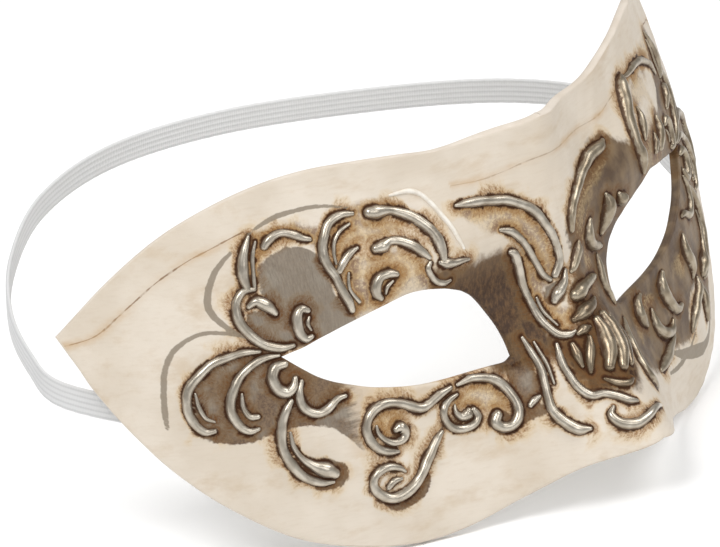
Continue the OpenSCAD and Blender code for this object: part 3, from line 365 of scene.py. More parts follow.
# ------------------------------------------------------------------- materials
class Nodes:
    """Short names for building one material's nodes."""

    def __init__(self, name):
        self.mat = bpy.data.materials.new(name)
        self.mat.use_nodes = True
        self.t = self.mat.node_tree
        self.t.nodes.clear()
        self.out = self.t.nodes.new("ShaderNodeOutputMaterial")
        self.bsdf = self.t.nodes.new("ShaderNodeBsdfPrincipled")
        self.t.links.new(self.bsdf.outputs[0], self.out.inputs[0])

    def put(self, sock, v):
        if isinstance(v, bpy.types.NodeSocket):
            self.t.links.new(v, sock)
        elif isinstance(v, (tuple, list)) and len(v) == 3 and sock.type == "RGBA":
            sock.default_value = (*v, 1)
        else:
            sock.default_value = v

    def set(self, **ins):
        for k, v in ins.items():
            self.put(self.bsdf.inputs[k.replace("_", " ")], v)

    def attr(self, name):
        n = self.t.nodes.new("ShaderNodeAttribute")
        n.attribute_name = name
        return n.outputs["Fac"]

    def math(self, op, a, b=0.0, c=0.0, clamp=False):
        n = self.t.nodes.new("ShaderNodeMath")
        n.operation, n.use_clamp = op, clamp
        self.put(n.inputs[0], a)
        self.put(n.inputs[1], b)
        self.put(n.inputs[2], c)
        return n.outputs[0]

    def range(self, v, a, b, c=0.0, d=1.0, kind="SMOOTHSTEP"):
        n = self.t.nodes.new("ShaderNodeMapRange")
        n.interpolation_type = kind
        for i, x in enumerate((v, a, b, c, d)):
            self.put(n.inputs[i], x)
        return n.outputs[0]

    def mix(self, f, a, b, blend="MIX"):
        n = self.t.nodes.new("ShaderNodeMix")
        n.data_type, n.blend_type = "RGBA", blend
        self.put(n.inputs[0], f)
        self.put(n.inputs[6], a)
        self.put(n.inputs[7], b)
        return n.outputs[2]

    def lerp(self, f, a, b):
        n = self.t.nodes.new("ShaderNodeMix")
        self.put(n.inputs[0], f)
        self.put(n.inputs[2], a)
        self.put(n.inputs[3], b)
        return n.outputs[0]

    def place(self, scale=(1, 1, 1), rot=(0, 0, 0)):
        """Object coordinates in mm, scaled and turned."""
        if not hasattr(self, "coord"):
            self.coord = self.t.nodes.new("ShaderNodeTexCoord").outputs["Object"]
        n = self.t.nodes.new("ShaderNodeMapping")
        self.put(n.inputs["Vector"], self.coord)
        n.inputs["Rotation"].default_value = rot
        n.inputs["Scale"].default_value = [s * 1000 for s in scale]
        return n.outputs[0]

    def vec(self, x, y, z=0.0):
        n = self.t.nodes.new("ShaderNodeCombineXYZ")
        for i, v in enumerate((x, y, z)):
            self.put(n.inputs[i], v)
        return n.outputs[0]

    def noise(self, vector, scale, detail=2.0, rough=0.5, out="Fac"):
        n = self.t.nodes.new("ShaderNodeTexNoise")
        self.put(n.inputs["Vector"], vector)
        n.inputs["Scale"].default_value = scale
        n.inputs["Detail"].default_value = detail
        n.inputs["Roughness"].default_value = rough
        return n.outputs[out]

    def bump(self, height, strength, dist_mm, below=None):
        n = self.t.nodes.new("ShaderNodeBump")
        n.inputs["Strength"].default_value = strength
        n.inputs["Distance"].default_value = dist_mm * MM
        self.put(n.inputs["Height"], height)
        if below is not None:
            self.put(n.inputs["Normal"], below)
        return n.outputs[0]


def front_material():
    m = Nodes("ivory_gesso")
    p = m.place()
    d, s = m.attr("edge_d"), m.attr("edge_s")
    cloud = m.noise(p, 0.05, 3)
    fine = m.noise(m.place((0.16, 0.5, 1.6), (0.1, 0, 0.2)), 1.0, 4, 0.6)
    # ivory, brushed and slightly clouded
    col = m.mix(m.range(cloud, 0.35, 0.65), (0.595, 0.52, 0.425), (0.66, 0.59, 0.50))
    col = m.mix(m.range(fine, 0.45, 0.75, 0, 0.2), col, (0.50, 0.405, 0.30))
    smudge = m.noise(m.place((0.05, 0.1, 0.16)), 1.0, 5, 0.65)
    col = m.mix(m.range(smudge, 0.5, 0.72, 0, 0.42), col, (0.47, 0.345, 0.21))
    # silver-grey brushed patches
    edge = m.noise(p, 0.9, 3)
    grain0 = m.range(m.noise(p, 1.8, 4, 0.7), 0.36, 0.64)
    patch = m.range(m.math("ADD", m.attr("patch_d"), m.math("MULTIPLY", m.math("SUBTRACT", edge, 0.5), 1.3)), 0.22, -0.22)
    worn = m.math("ADD", m.attr("fade"), m.math("MULTIPLY", m.math("SUBTRACT", m.noise(m.place((0.35, 0.35, 1.3), (0.2, 0, 0.5)), 1.0, 4, 0.7), 0.5), 1.1))
    patch = m.math("MULTIPLY", patch, m.range(worn, 0.1, 0.75, 0.1, 1.0))
    col = m.mix(m.range(m.attr("fade"), 1.0, 0.45, 0.0, 0.3), col, (0.46, 0.30, 0.145))
    streak = m.noise(m.place((3.2, 1.6, 0.14)), 1.0, 4, 0.7)
    grey = m.mix(m.range(streak, 0.28, 0.74), (0.20, 0.165, 0.125), (0.285, 0.245, 0.195))
    low = m.range(m.attr("level"), 9.0, 3.0)
    stain = m.math("MULTIPLY", m.range(m.noise(p, 0.16, 3), 0.3, 0.54), m.math("ADD", 0.22, m.math("MULTIPLY", low, 0.75)))
    grey = m.mix(stain, grey, m.mix(grain0, (0.072, 0.033, 0.012), (0.17, 0.10, 0.048)))
    col = m.mix(m.math("MULTIPLY", patch, 0.94), col, grey)
    # bronze on the wearer's left side
    bronze = m.range(m.math("ADD", m.attr("bronze_d"), m.math("MULTIPLY", m.math("SUBTRACT", edge, 0.5), 2.5)), 0.8, -0.8)
    btone = m.mix(m.range(m.noise(m.place((0.22, 0.22, 0.12)), 1.0, 4, 0.55), 0.34, 0.66), (0.066, 0.032, 0.012), (0.185, 0.12, 0.06))
    col = m.mix(m.math("MULTIPLY", bronze, 0.94), col, btone)
    # washes of brown glaze
    wash = m.range(m.math("ADD", m.attr("wash_d"), m.math("MULTIPLY", m.math("SUBTRACT", m.noise(p, 0.5, 4, 0.7), 0.5), 3.4)), 1.0, -0.8)
    speck = m.noise(m.place((1.5, 1.5, 1.5)), 1.0, 4, 0.75)
    near = m.range(d, 4.2, 0.3)
    gold = m.mix(m.range(m.math("ADD", speck, m.math("MULTIPLY", near, -0.2)), 0.3, 0.56), (0.155, 0.068, 0.02), (0.54, 0.395, 0.20))
    col = m.mix(m.math("MULTIPLY", wash, m.math("ADD", 0.32, m.math("MULTIPLY", near, 0.55))), col, gold)
    deep = m.range(m.math("ADD", m.attr("deep_d"), m.math("MULTIPLY", m.math("SUBTRACT", m.noise(p, 0.35, 4, 0.7), 0.5), 4)), 1.4, -1.4)
    dark = m.mix(m.range(m.noise(m.place((1.1, 1.1, 0.5)), 1.0, 5, 0.75), 0.38, 0.72), (0.03, 0.01, 0.003), (0.125, 0.062, 0.022))
    dark = m.mix(m.range(m.attr("level"), 8.0, 16.0, 0.0, 0.6), dark, (0.165, 0.10, 0.05))
    col = m.mix(m.math("MULTIPLY", deep, 0.95), col, dark)
    # glaze that gathers along each stroke, in short strokes across it, and painted shade at each bead's foot
    slant = m.math("ADD", m.math("MULTIPLY", s, 2.3), m.math("MULTIPLY", d, 0.9))
    hatch = m.noise(m.vec(slant, m.math("MULTIPLY", d, 0.8), 3.0), 1.0, 4, 0.65)
    grain = m.noise(p, 2.4, 3, 0.7)
    reach = m.range(m.noise(p, 0.15, 2), 0.35, 0.62, 0.75, 3.9)
    q = m.math("DIVIDE", d, reach)
    soft = m.range(m.math("SUBTRACT", q, m.math("MULTIPLY", m.math("SUBTRACT", hatch, 0.5), 0.9)), 1.1, 0.1)
    gold_t = m.math("MULTIPLY", soft, m.range(grain, 0.32, 0.6, 0.6, 1.0))
    paints = m.math("MAXIMUM", m.math("MAXIMUM", patch, bronze), deep)
    golden = m.mix(m.range(m.math("ADD", soft, m.math("MULTIPLY", m.math("SUBTRACT", grain, 0.5), 1.2)), 0.4, 1.1), (0.59, 0.415, 0.195), (0.33, 0.175, 0.055))
    golden = m.mix(m.math("MULTIPLY", paints, 0.85), golden, m.mix(soft, (0.19, 0.12, 0.06), (0.09, 0.042, 0.015)))
    col = m.mix(m.math("MULTIPLY", gold_t, 0.85), col, golden)
    hairs = m.math("MULTIPLY", m.math("MULTIPLY", m.range(hatch, 0.44, 0.66), m.range(grain, 0.3, 0.55, 0.35, 1.0)), m.range(q, 0.9, 0.05))
    col = m.mix(m.math("MULTIPLY", hairs, 0.78), col, (0.145, 0.058, 0.016))
    fringe = m.math("MAXIMUM", m.math("MULTIPLY", gold_t, 0.7), hairs)
    # a near-black line hugging each bead's edge: glaze gathered there, and painted shade where the bead meets the shell
    line = m.math("ADD", m.range(m.noise(p, 0.3, 2), 0.36, 0.6, -0.05, 0.6), m.math("MULTIPLY", m.math("SUBTRACT", hatch, 0.5), 0.8))
    rim = m.range(m.math("SUBTRACT", line, d), -0.2, 0.35)
    col = m.mix(m.math("MULTIPLY", rim, 0.95), col, (0.042, 0.014, 0.004))
    # painted lines, and the crease: a thin dark line along it with a soft band of painted shade beside it
    paint = m.range(m.math("ADD", m.attr("paint_d"), m.math("MULTIPLY", m.math("SUBTRACT", edge, 0.5), 0.35)), 0.09, -0.09)
    col = m.mix(m.math("MULTIPLY", paint, 0.85), col, m.mix(streak, (0.165, 0.13, 0.09), (0.25, 0.205, 0.15)))
    cr = m.math("ABSOLUTE", m.attr("crease_d"))
    cr_on = m.attr("crease_m")
    crease_line = m.math("MULTIPLY", m.range(m.math("SUBTRACT", cr, m.range(m.noise(p, 0.35, 3), 0.4, 0.65, 0.0, 0.1)), 0.14, 0.0), m.range(m.noise(p, 0.5, 3), 0.32, 0.5, 0.25, 1.0))
    col = m.mix(m.math("MULTIPLY", m.math("MULTIPLY", crease_line, cr_on), 0.85), col, (0.13, 0.06, 0.022))
    # a soft golden-brown band along the crease: painted shade of the fold
    crease_shade_halo = m.math("MULTIPLY", m.math("MULTIPLY", m.range(cr, 1.5, 0.0), m.range(cr_on, 0.0, 0.5)), m.range(smudge, 0.4, 0.62, 0.12, 0.55))
    col = m.mix(crease_shade_halo, col, (0.50, 0.33, 0.17))
    # glaze, and the painted shade at the beads' feet, lower the shine
    glaze = m.math("MAXIMUM", m.math("MAXIMUM", rim, fringe), m.math("MAXIMUM", m.math("MULTIPLY", deep, 0.9), m.math("MULTIPLY", wash, 0.6)))
    m.put(m.bsdf.inputs["Specular IOR Level"], m.lerp(glaze, 0.42, 0.1))
    metal = m.math("MULTIPLY", m.math("MAXIMUM", m.math("MULTIPLY", patch, m.math("SUBTRACT", 1.0, m.math("MULTIPLY", stain, 0.6))), m.math("MULTIPLY", bronze, 0.45)), m.math("SUBTRACT", 1.0, m.math("MAXIMUM", rim, m.math("MULTIPLY", fringe, 0.7))))
    rough = m.lerp(metal, m.range(fine, 0.3, 0.7, 0.5, 0.62), m.range(streak, 0.3, 0.7, 0.34, 0.5))
    h = m.math("ADD", m.math("MULTIPLY", fine, 0.4), m.math("MULTIPLY", m.noise(p, 2.2, 4, 0.6), 0.35))
    h = m.math("ADD", h, m.math("MULTIPLY", patch, m.math("MULTIPLY", streak, 0.9)))
    h = m.math("SUBTRACT", h, m.math("MULTIPLY", rim, 0.8))
    nrm = m.bump(h, 0.55, 0.12)
    m.set(Base_Color=col, Metallic=m.math("MULTIPLY", metal, 0.45), Roughness=rough, Normal=nrm)
    return m.mat


def rim_material():
    m = Nodes("cut_edge")
    p = m.place()
    col = m.mix(m.range(m.noise(p, 0.12, 3), 0.35, 0.65), (0.59, 0.515, 0.43), (0.655, 0.585, 0.505))
    fib = m.noise(m.place((1.2, 3.5, 1.2)), 1.0, 4, 0.7)
    col = m.mix(m.range(fib, 0.5, 0.75, 0, 0.2), col, (0.56, 0.45, 0.34))
    m.set(Base_Color=col, Roughness=m.range(fib, 0.3, 0.7, 0.6, 0.85), Normal=m.bump(fib, 0.5, 0.12))
    return m.mat


def inner_material():
    m = Nodes("paper_lining")
    p = m.place()
    pulp = m.noise(p, 0.55, 5, 0.65)
    fib = m.noise(m.place((2.4, 2.4, 0.6), (0.4, 0.2, 0.7)), 1.0, 3, 0.6)
    col = m.mix(m.range(pulp, 0.35, 0.66), (0.70, 0.655, 0.58), (0.80, 0.765, 0.70))
    col = m.mix(m.range(fib, 0.56, 0.74, 0, 0.3), col, (0.58, 0.51, 0.41))
    h = m.math("ADD", m.math("MULTIPLY", pulp, 1.0), m.math("MULTIPLY", fib, 0.4))
    m.set(Base_Color=col, Roughness=m.range(pulp, 0.3, 0.7, 0.72, 0.9), Normal=m.bump(h, 0.6, 0.25))
    return m.mat


def silver_material(name, warm, tones=None):
    m = Nodes(name)
    p = m.place()
    h, s = m.attr("bead_h"), m.attr("bead_s")
    tone = m.noise(p, 0.4, 3)
    lo, hi = ((0.28, 0.228, 0.16), (0.42, 0.36, 0.27)) if warm else ((0.39, 0.345, 0.28), (0.55, 0.50, 0.42))
    lo, hi = tones or (lo, hi)
    col = m.mix(m.range(tone, 0.34, 0.66), lo, hi)
    # brown at the foot of the bead and in its brush marks: glaze, and towards the very foot painted shade where the
    # bead meets the shell
    foot = m.noise(m.vec(m.math("MULTIPLY", s, 0.9), m.math("MULTIPLY", h, 2.0), 1.0), 1.0, 3, 0.6)
    left = m.range(m.math("SUBTRACT", m.range(foot, 0.3, 0.7, 0.22, 0.58), h), -0.24, 0.26)
    mark = m.noise(m.vec(m.math("MULTIPLY", s, 0.28), m.math("MULTIPLY", m.attr("bead_b"), 3.2), 7.0), 1.0, 3, 0.55)
    marks = m.math("MULTIPLY", m.range(mark, 0.5, 0.72), m.range(h, 0.99, 0.72, 0.0, 0.8))
    brown = m.math("MAXIMUM", left, m.math("MULTIPLY", marks, 0.6))
    # the brown turns near black down the flank towards the foot: painted shade
    col = m.mix(m.math("MULTIPLY", brown, 0.93), col, m.mix(m.range(h, 0.1, 0.7), (0.05, 0.019, 0.006), (0.16, 0.09, 0.042)))
    metal = m.math("MULTIPLY", m.math("SUBTRACT", 1.0, brown), 0.86)
    rough = m.lerp(brown, m.range(m.noise(p, 1.4, 2), 0.3, 0.7, 0.29, 0.36), 0.5)
    m.put(m.bsdf.inputs["Specular IOR Level"], m.lerp(brown, 0.5, 0.15))
    ripple = m.noise(m.vec(m.math("MULTIPLY", s, 0.35), m.math("MULTIPLY", m.attr("bead_b"), 2.6), 2.0), 1.0, 2)
    m.set(Base_Color=col, Metallic=metal, Roughness=rough, Normal=m.bump(ripple, 0.1, 0.1))
    return m.mat


def ivory_bead_material():
    m = Nodes("ivory_paste")
    p = m.place()
    h = m.attr("bead_h")
    tone = m.noise(p, 0.5, 3)
    col = m.mix(m.range(tone, 0.35, 0.65), (0.69, 0.63, 0.54), (0.78, 0.74, 0.67))
    # browner towards the foot of the bead: painted shade where it meets the shell
    col = m.mix(m.range(h, 0.4, 0.05, 0, 0.55), col, (0.56, 0.44, 0.31))
    m.set(Base_Color=col, Roughness=m.range(tone, 0.3, 0.7, 0.32, 0.45), Normal=m.bump(m.noise(p, 1.6, 3), 0.3, 0.1))
    return m.mat


def elastic_material():
    m = Nodes("ribbed_elastic")
    s, b = m.attr("band_s"), m.attr("band_b")
    weft = m.math("SINE", m.math("MULTIPLY", s, 2 * math.pi / 0.55))
    cord = m.math("ABSOLUTE", m.math("SINE", m.math("MULTIPLY", b, math.pi / 1.2)))
    alt = m.math("SINE", m.math("ADD", m.math("MULTIPLY", s, 2 * math.pi / 1.1), m.math("MULTIPLY", b, 2.6)))
    h = m.math("ADD", m.math("MULTIPLY", weft, 0.2), m.math("ADD", cord, m.math("MULTIPLY", alt, 0.1)))
    cloud = m.noise(m.place(), 0.12, 2)
    # lighter on the cords and darker between them: painted light and shade of the ribs, which the bump also shapes
    col = m.mix(m.range(m.math("ADD", cord, m.math("MULTIPLY", weft, 0.1)), 0.0, 1.0), (0.52, 0.52, 0.52), (0.65, 0.65, 0.65))
    col = m.mix(m.range(cloud, 0.4, 0.7, 0, 0.2), col, (0.59, 0.585, 0.575))
    m.set(Base_Color=col, Roughness=m.range(weft, -1.0, 1.0, 0.62, 0.78), Normal=m.bump(h, 0.45, 0.12))
    m.put(m.bsdf.inputs["Sheen Weight"], 0.25)
    m.put(m.bsdf.inputs["Sheen Roughness"], 0.5)
    return m.mat


def cloth_material():
    m = Nodes("glued_cloth")
    s, b = m.attr("tab_u"), m.attr("tab_v")
    w1 = m.math("SINE", m.math("MULTIPLY", s, 2 * math.pi / 0.5))
    w2 = m.math("SINE", m.math("MULTIPLY", b, 2 * math.pi / 0.5))
    weave = m.math("MULTIPLY", w1, w2)
    stain = m.noise(m.place(), 0.35, 4)
    col = m.mix(m.range(weave, -1.0, 1.0), (0.62, 0.57, 0.49), (0.78, 0.74, 0.67))
    col = m.mix(m.range(stain, 0.45, 0.7, 0, 0.5), col, (0.60, 0.50, 0.36))
    m.set(Base_Color=col, Roughness=m.range(stain, 0.3, 0.7, 0.6, 0.85), Normal=m.bump(weave, 0.5, 0.12))
    return m.mat


MAT_FRONT, MAT_RIM, MAT_INNER = front_material(), rim_material(), inner_material()
MAT_SILVER, MAT_WARM = silver_material("silver_paste", False), silver_material("bronzed_paste", True)
MAT_MASS = silver_material("bronzed_mass", True, ((0.20, 0.15, 0.10), (0.34, 0.28, 0.20)))
MAT_IVORY, MAT_BAND, MAT_CLOTH = ivory_bead_material(), elastic_material(), cloth_material()


# ------------------------------------------------------------------ the strokes
BEAD = np.array([
    (-1.3, -0.16), (-1.08, -0.02), (-0.95, 0.14), (-0.87, 0.34), (-0.77, 0.57), (-0.61, 0.79),
    (-0.36, 0.95), (0, 1.02), (0.36, 0.95), (0.61, 0.79), (0.77, 0.57), (0.87, 0.34), (0.95, 0.14),
    (1.08, -0.02), (1.3, -0.16), (0.8, -0.35), (-0.8, -0.35)])


def resample(P, side, step):
    """Dense points along a stroke: design x, z, half width, and arc length in mm."""
    c = curve(P, 24)
    x, z, w = side * c[:, 0], c[:, 1], np.maximum(0.25, c[:, 2])
    q = front(x, z)
    a = np.concatenate([[0], np.cumsum(np.linalg.norm(np.diff(q, axis=0), axis=1))])
    n = max(6, int(a[-1] / step))
    t = np.linspace(0, a[-1], n + 1)
    return np.interp(t, a, x), np.interp(t, a, z), np.interp(t, a, w), t


def stroke_mesh(P, side, seed):
    x, z, w, s = resample(P, side, 0.28)

    def tip(i, j):
        # A rounded end: the stroke runs on by its own half width and closes.
        dx, dz = x[i] - x[j], z[i] - z[j]
        k = 1 / max(np.linalg.norm(front(x[i:i + 1] if i >= 0 else x[-1:], z[i:i + 1] if i >= 0 else z[-1:])
                                   - front(x[j:j + 1], z[j:j + 1])), 1e-6)
        f = np.array([0.2, 0.42, 0.62, 0.78, 0.9, 0.97, 0.998])
        return x[i] + dx * k * f * w[i], z[i] + dz * k * f * w[i], w[i] * np.sqrt(1 - f * f), f * w[i]

    x0, z0, w0, f0 = tip(0, 1)
    x1, z1, w1, f1 = tip(-1, -2)
    X = np.concatenate([x0[::-1], x, x1])
    Z = np.concatenate([z0[::-1], z, z1])
    S = np.concatenate([-f0[::-1], s, s[-1] + f1])
    W = np.concatenate([w0[::-1], w, w1])
    ph = seed * 1.7
    wob = 1 + 0.035 * np.sin(S * 0.8 + ph) + 0.012 * np.sin(S * 2.3 + 2 * ph)
    lift = 1 + 0.035 * np.sin(S * 0.6 + 3 * ph) + 0.01 * np.sin(S * 1.9 + ph)
    c, n = skin(X, Z), normal(X, Z)
    t = unit(np.gradient(c, axis=0))
    b = unit(np.cross(n, t))
    drift = (0.05 * np.sin(S * 0.9 + 5 * ph))[:, None] * b * W[:, None]
    k = len(BEAD)
    ring = (c[:, None] + drift[:, None] + b[:, None] * (W * wob)[:, None, None] * BEAD[None, :, 0:1]
            + n[:, None] * ((W * lift)[:, None, None] * BEAD[None, :, 1:2] - 0.12 * (BEAD[None, :, 1:2] < 0.05)))
    m = len(X)
    i = np.arange(m - 1)[:, None] * k
    j = np.arange(k)[None]
    jn = (j + 1) % k
    quads = np.stack([i + j, i + jn, i + k + jn, i + k + j], -1).reshape(-1, 4)
    ends = [np.arange(k)[::-1][None], (np.arange(k) + (m - 1) * k)[None]]
    hh = np.tile(np.clip(BEAD[:, 1], 0, 1), m)
    bb = (W[:, None] * BEAD[None, :, 0]).ravel()
    ss = np.repeat(S + seed * 37.0, k)
    return ring.reshape(-1, 3), quads, ends, hh, bb, ss


samples = []  # (point on the surface, half width, arc length, side, ivory)
for count, (node, strokes, side, ivory) in enumerate(NODES):
    V, Q, E, H, B, S = [], [], [], [], [], []
    base = 0
    for no, P in enumerate(strokes):
        seed = (count * 7 + no * 3) % 23 + 1
        v, q, e, h, b, s = stroke_mesh(P, side, seed)
        V.append(v)
        Q.append(q + base)
        E += [x + base for x in e]
        H.append(h)
        B.append(b)
        S.append(s)
        base += len(v)
        x, z, w, t = resample(P, side, 0.18)
        samples.append((front(x, z), w, t + seed * 61.0, np.full(len(x), float(ivory))))
    mat = MAT_IVORY if ivory else (MAT_WARM if side == L and not node.startswith("nose_") else MAT_SILVER)
    mat = MAT_MASS if node == "nose_palmette" else mat
    o = make_mesh("relief_" + node, np.concatenate(V), [np.concatenate(Q)] + E, [mat],
                  attrs={"bead_h": np.concatenate(H), "bead_b": np.concatenate(B), "bead_s": np.concatenate(S)})
    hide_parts(node)
    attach(o, "mask")


# -------------------------------------------------------------------- the shell
def spoke_set(m1, m2):
    top, low = curve(TOP_SPOKES, m1), curve(LOW_SPOKES, m1)
    a, b = curve(MID_LOW, m2), curve(MID_UP, m2)
    a[:, 1, 0] = 0
    b[:, 1, 0] = 0
    fan = np.concatenate([top[:-1], low[:-1], a[:-1], b[:-1]])
    mid = len(top) + len(low) - 2
    on = np.zeros(len(fan), bool)
    on[0] = True
    on[mid:] = True
    return fan, on


FAN, ON_MID = spoke_set(20, 22)
NF, NB = 63, 6
n_sp = len(FAN)
verts, attrs_x, attrs_z, kind = [], [], [], []
ids = {}
total = 0
for side in (R, L):
    eye, out = FAN[:, 0], FAN[:, 1]

    def grid(rows, d):
        t = (np.arange(rows + 1) / rows)[:, None, None]
        p = eye[None] + (out - eye)[None] * t
        x, z = side * p[..., 0], p[..., 1]
        if d == 0:
            return skin(x, z), x, z
        return depth(x, z, np.full(x.shape, d)), x, z

    F, fx, fz = grid(NF, 0)
    Bk, bx, bz = grid(NB, SHELL_T)
    spoke = unit(F[-1] - F[0])
    arcs = []
    for j, sign in ((0, -1), (-1, 1)):
        a, b = F[j], Bk[j]
        across = unit(b - a)
        o = sign * (spoke - across * (spoke * across).sum(-1, keepdims=True))
        o[ON_MID & (j == -1), 0] = 0
        o = unit(o)
        arc = []
        for ang in np.linspace(0, math.pi, 8)[1:-1]:
            arc.append((a + b) / 2 + (a - b) / 2 * math.cos(ang) + o * 0.42 * math.sin(ang))
        arcs.append((np.array(arc), fx[j], fz[j]))
    blocks = [("f", F, fx, fz), ("b", Bk, bx, bz)]
    for nm, (arc, x, z) in zip(("e", "o"), arcs):
        blocks.append((nm, arc, np.repeat(x[None], len(arc), 0), np.repeat(z[None], len(arc), 0)))
    for nm, P, x, z in blocks:
        idx = np.arange(P.shape[0] * n_sp).reshape(P.shape[0], n_sp) + total
        total += P.shape[0] * n_sp
        verts.append(P.reshape(-1, 3))
        attrs_x.append(x.ravel())
        attrs_z.append(z.ravel())
        kind.append(np.full(P.shape[0] * n_sp, 0 if nm == "f" else (2 if nm == "b" else 1)))
        if side == L and nm in "fb":
            idx[-1, ON_MID] = ids[(R, nm)][-1, ON_MID]
        if side == L and nm == "o":
            idx[:, ON_MID] = ids[(R, nm)][:, ON_MID]
        ids[(side, nm)] = idx
faces, fmat = [], []
for side in (R, L):
    f, b = ids[(side, "f")], ids[(side, "b")]
    e = np.concatenate([f[:1], ids[(side, "e")], b[:1]])
    o = np.concatenate([f[-1:], ids[(side, "o")], b[-1:]])
    for nm, g, turn, mt in (("f", f, side == R, 0), ("b", b, side != R, 2), ("e", e, side != R, 0), ("o", o, side == R, 1)):
        nxt = np.roll(g, -1, axis=1)
        q = np.stack([g[:-1], nxt[:-1], nxt[1:], g[1:]], -1)
        if nm == "o":
            keep = ~(ON_MID & np.roll(ON_MID, -1))
            q = q[:, keep]
        q = q.reshape(-1, 4)
        if turn:
            q = q[:, ::-1]
        faces.append(q)
        fmat.append(np.full(len(q), mt))
verts, faces, fmat = np.concatenate(verts), np.concatenate(faces), np.concatenate(fmat)
AX, AZ_ = np.concatenate(attrs_x), np.concatenate(attrs_z)
used = np.unique(faces)
remap = np.full(len(verts), -1)
remap[used] = np.arange(len(used))
faces, verts, AX, AZ_ = remap[faces], verts[used], AX[used], AZ_[used]

# Distance to the nearest silver stroke's edge, and the place along it.
tree_pts = np.concatenate([q for q, w, s, iv in samples if not iv[0]])
tree_w = np.concatenate([w for q, w, s, iv in samples if not iv[0]])
tree_s = np.concatenate([s for q, w, s, iv in samples if not iv[0]])
tree = kdtree.KDTree(len(tree_pts))
for i, q in enumerate(tree_pts):
    tree.insert(q, i)
tree.balance()
flatv = front(AX, AZ_)
edge_d, edge_s = np.full(len(verts), 9.0), np.zeros(len(verts))
for i, q in enumerate(flatv):
    best = 9.0
    for co, k, dist in tree.find_n(q, 3):
        g = dist - tree_w[k]
        if g < best:
            best = g
            edge_s[i] = tree_s[k]
    edge_d[i] = best


def inside_outline(u, z, P):
    """Signed distance in mm to a closed outline, negative inside."""
    P = np.asarray(P, float)
    C = np.concatenate([P[-1:], P, P[:2]])
    t = (np.arange(5) / 5)[None, :, None]
    a, b, c, d = (C[i:len(P) + i][:, None] for i in range(4))
    S = (0.5 * (2 * b + (c - a) * t + (2 * a - 5 * b + 4 * c - d) * t**2 + (3 * b - a - 3 * c + d) * t**3)).reshape(-1, 2)
    N = np.roll(S, -1, axis=0)
    best = np.full(u.shape, 99.0)
    inn = np.zeros(u.shape, bool)
    for (x0, z0), (x1, z1) in zip(S, N):
        dx, dz = x1 - x0, z1 - z0
        k = np.clip(((u - x0) * dx + (z - z0) * dz) / max(dx * dx + dz * dz, 1e-9), 0, 1)
        best = np.minimum(best, np.hypot(u - x0 - k * dx, z - z0 - k * dz))
        cross = (z0 > z) != (z1 > z)
        with np.errstate(divide="ignore", invalid="ignore"):
            inn ^= cross & (u < (x1 - x0) * (z - z0) / (z1 - z0) + x0)
    return np.where(inn, -best, best)


def along_line(u, z, P):
    """Distance in mm to a drawn line, less its half width."""
    c = curve(P, 8)
    best = np.full(u.shape, 99.0)
    for (x0, z0, w0), (x1, z1, w1) in zip(c[:-1], c[1:]):
        dx, dz = x1 - x0, z1 - z0
        k = np.clip(((u - x0) * dx + (z - z0) * dz) / max(dx * dx + dz * dz, 1e-9), 0, 1)
        best = np.minimum(best, np.hypot(u - x0 - k * dx, z - z0 - k * dz) - (w0 + (w1 - w0) * k))
    return best


U = np.abs(AX)
least = lambda *a: np.minimum.reduce(a)
GREY_LEFT = [[35.5, -26.2, 0.3], [40, -28.6, 0.9], [45, -30.6, 1.3], [50, -32.4, 1.4], [54.5, -33.5, 1.1], [59.5, -33.4, 0.7], [62, -31.6, 0.4]]
GREY_LEFT2 = [[31, -28.8, 0.3], [36, -30, 0.5], [41, -30.2, 0.5], [46, -29.8, 0.4], [50, -28.6, 0.3]]
patch_d = least(*[inside_outline(U, AZ_, P) for P in (PETAL, PETAL_LOW, CHEEK, TEAR, UNDER, BALLS, SIDE, SPOT)])
wash_d = least(*[inside_outline(U, AZ_, P) for P in (WASH_LEAF, WASH_LEAF2, WASH_BROW, WASH_EYE, WASH_CURL, WASH_HEART, WASH_ROSE, WASH_TEMPLE, WASH_TOP)])
deep_d = np.where(AX < 0, inside_outline(U, AZ_, WASH_NOSE), 9.0)
bronze_d = inside_outline(AX, AZ_, LEFT_BRONZE)
patch_d = np.where(AX > 1, np.maximum(patch_d, 1.5), patch_d)
fade = np.where((AZ_ < 1) & (AZ_ > -19) & (U > 45) & (U < 62), np.clip((U - 53.4) / 6.2, 0, 1), 1.0)
heart_d = inside_outline(AX, AZ_, NOSE_HEART)
deep_d = np.minimum(deep_d, heart_d)
paint_d = least(*[along_line(U, AZ_, P) for P in GREY_LINES[:2]], along_line(-AX, AZ_, GREY_LINES[2]),
                along_line(AX, AZ_, GREY_LEFT), along_line(AX, AZ_, GREY_LEFT2))


def beside_line(u, z, P):
    """Distance in mm to a drawn line with its side as the sign, and 1 where the nearest point isn't an end."""
    c = curve(P, 8)
    best, sign, on = np.full(u.shape, 99.0), np.ones(u.shape), np.zeros(u.shape)
    for k0, ((x0, z0, w0), (x1, z1, w1)) in enumerate(zip(c[:-1], c[1:])):
        dx, dz = x1 - x0, z1 - z0
        k = ((u - x0) * dx + (z - z0) * dz) / max(dx * dx + dz * dz, 1e-9)
        out_ = (k < 0) & (k0 == 0) | (k > 1) & (k0 == len(c) - 2)
        k = np.clip(k, 0, 1)
        g = np.hypot(u - x0 - k * dx, z - z0 - k * dz)
        near_ = g < best
        best = np.where(near_, g, best)
        sign = np.where(near_, np.where((u - x0) * dz - (z - z0) * dx > 0, 1.0, -1.0), sign)
        on = np.where(near_, np.where(out_, 0.0, 1.0), on)
    return best * sign, on


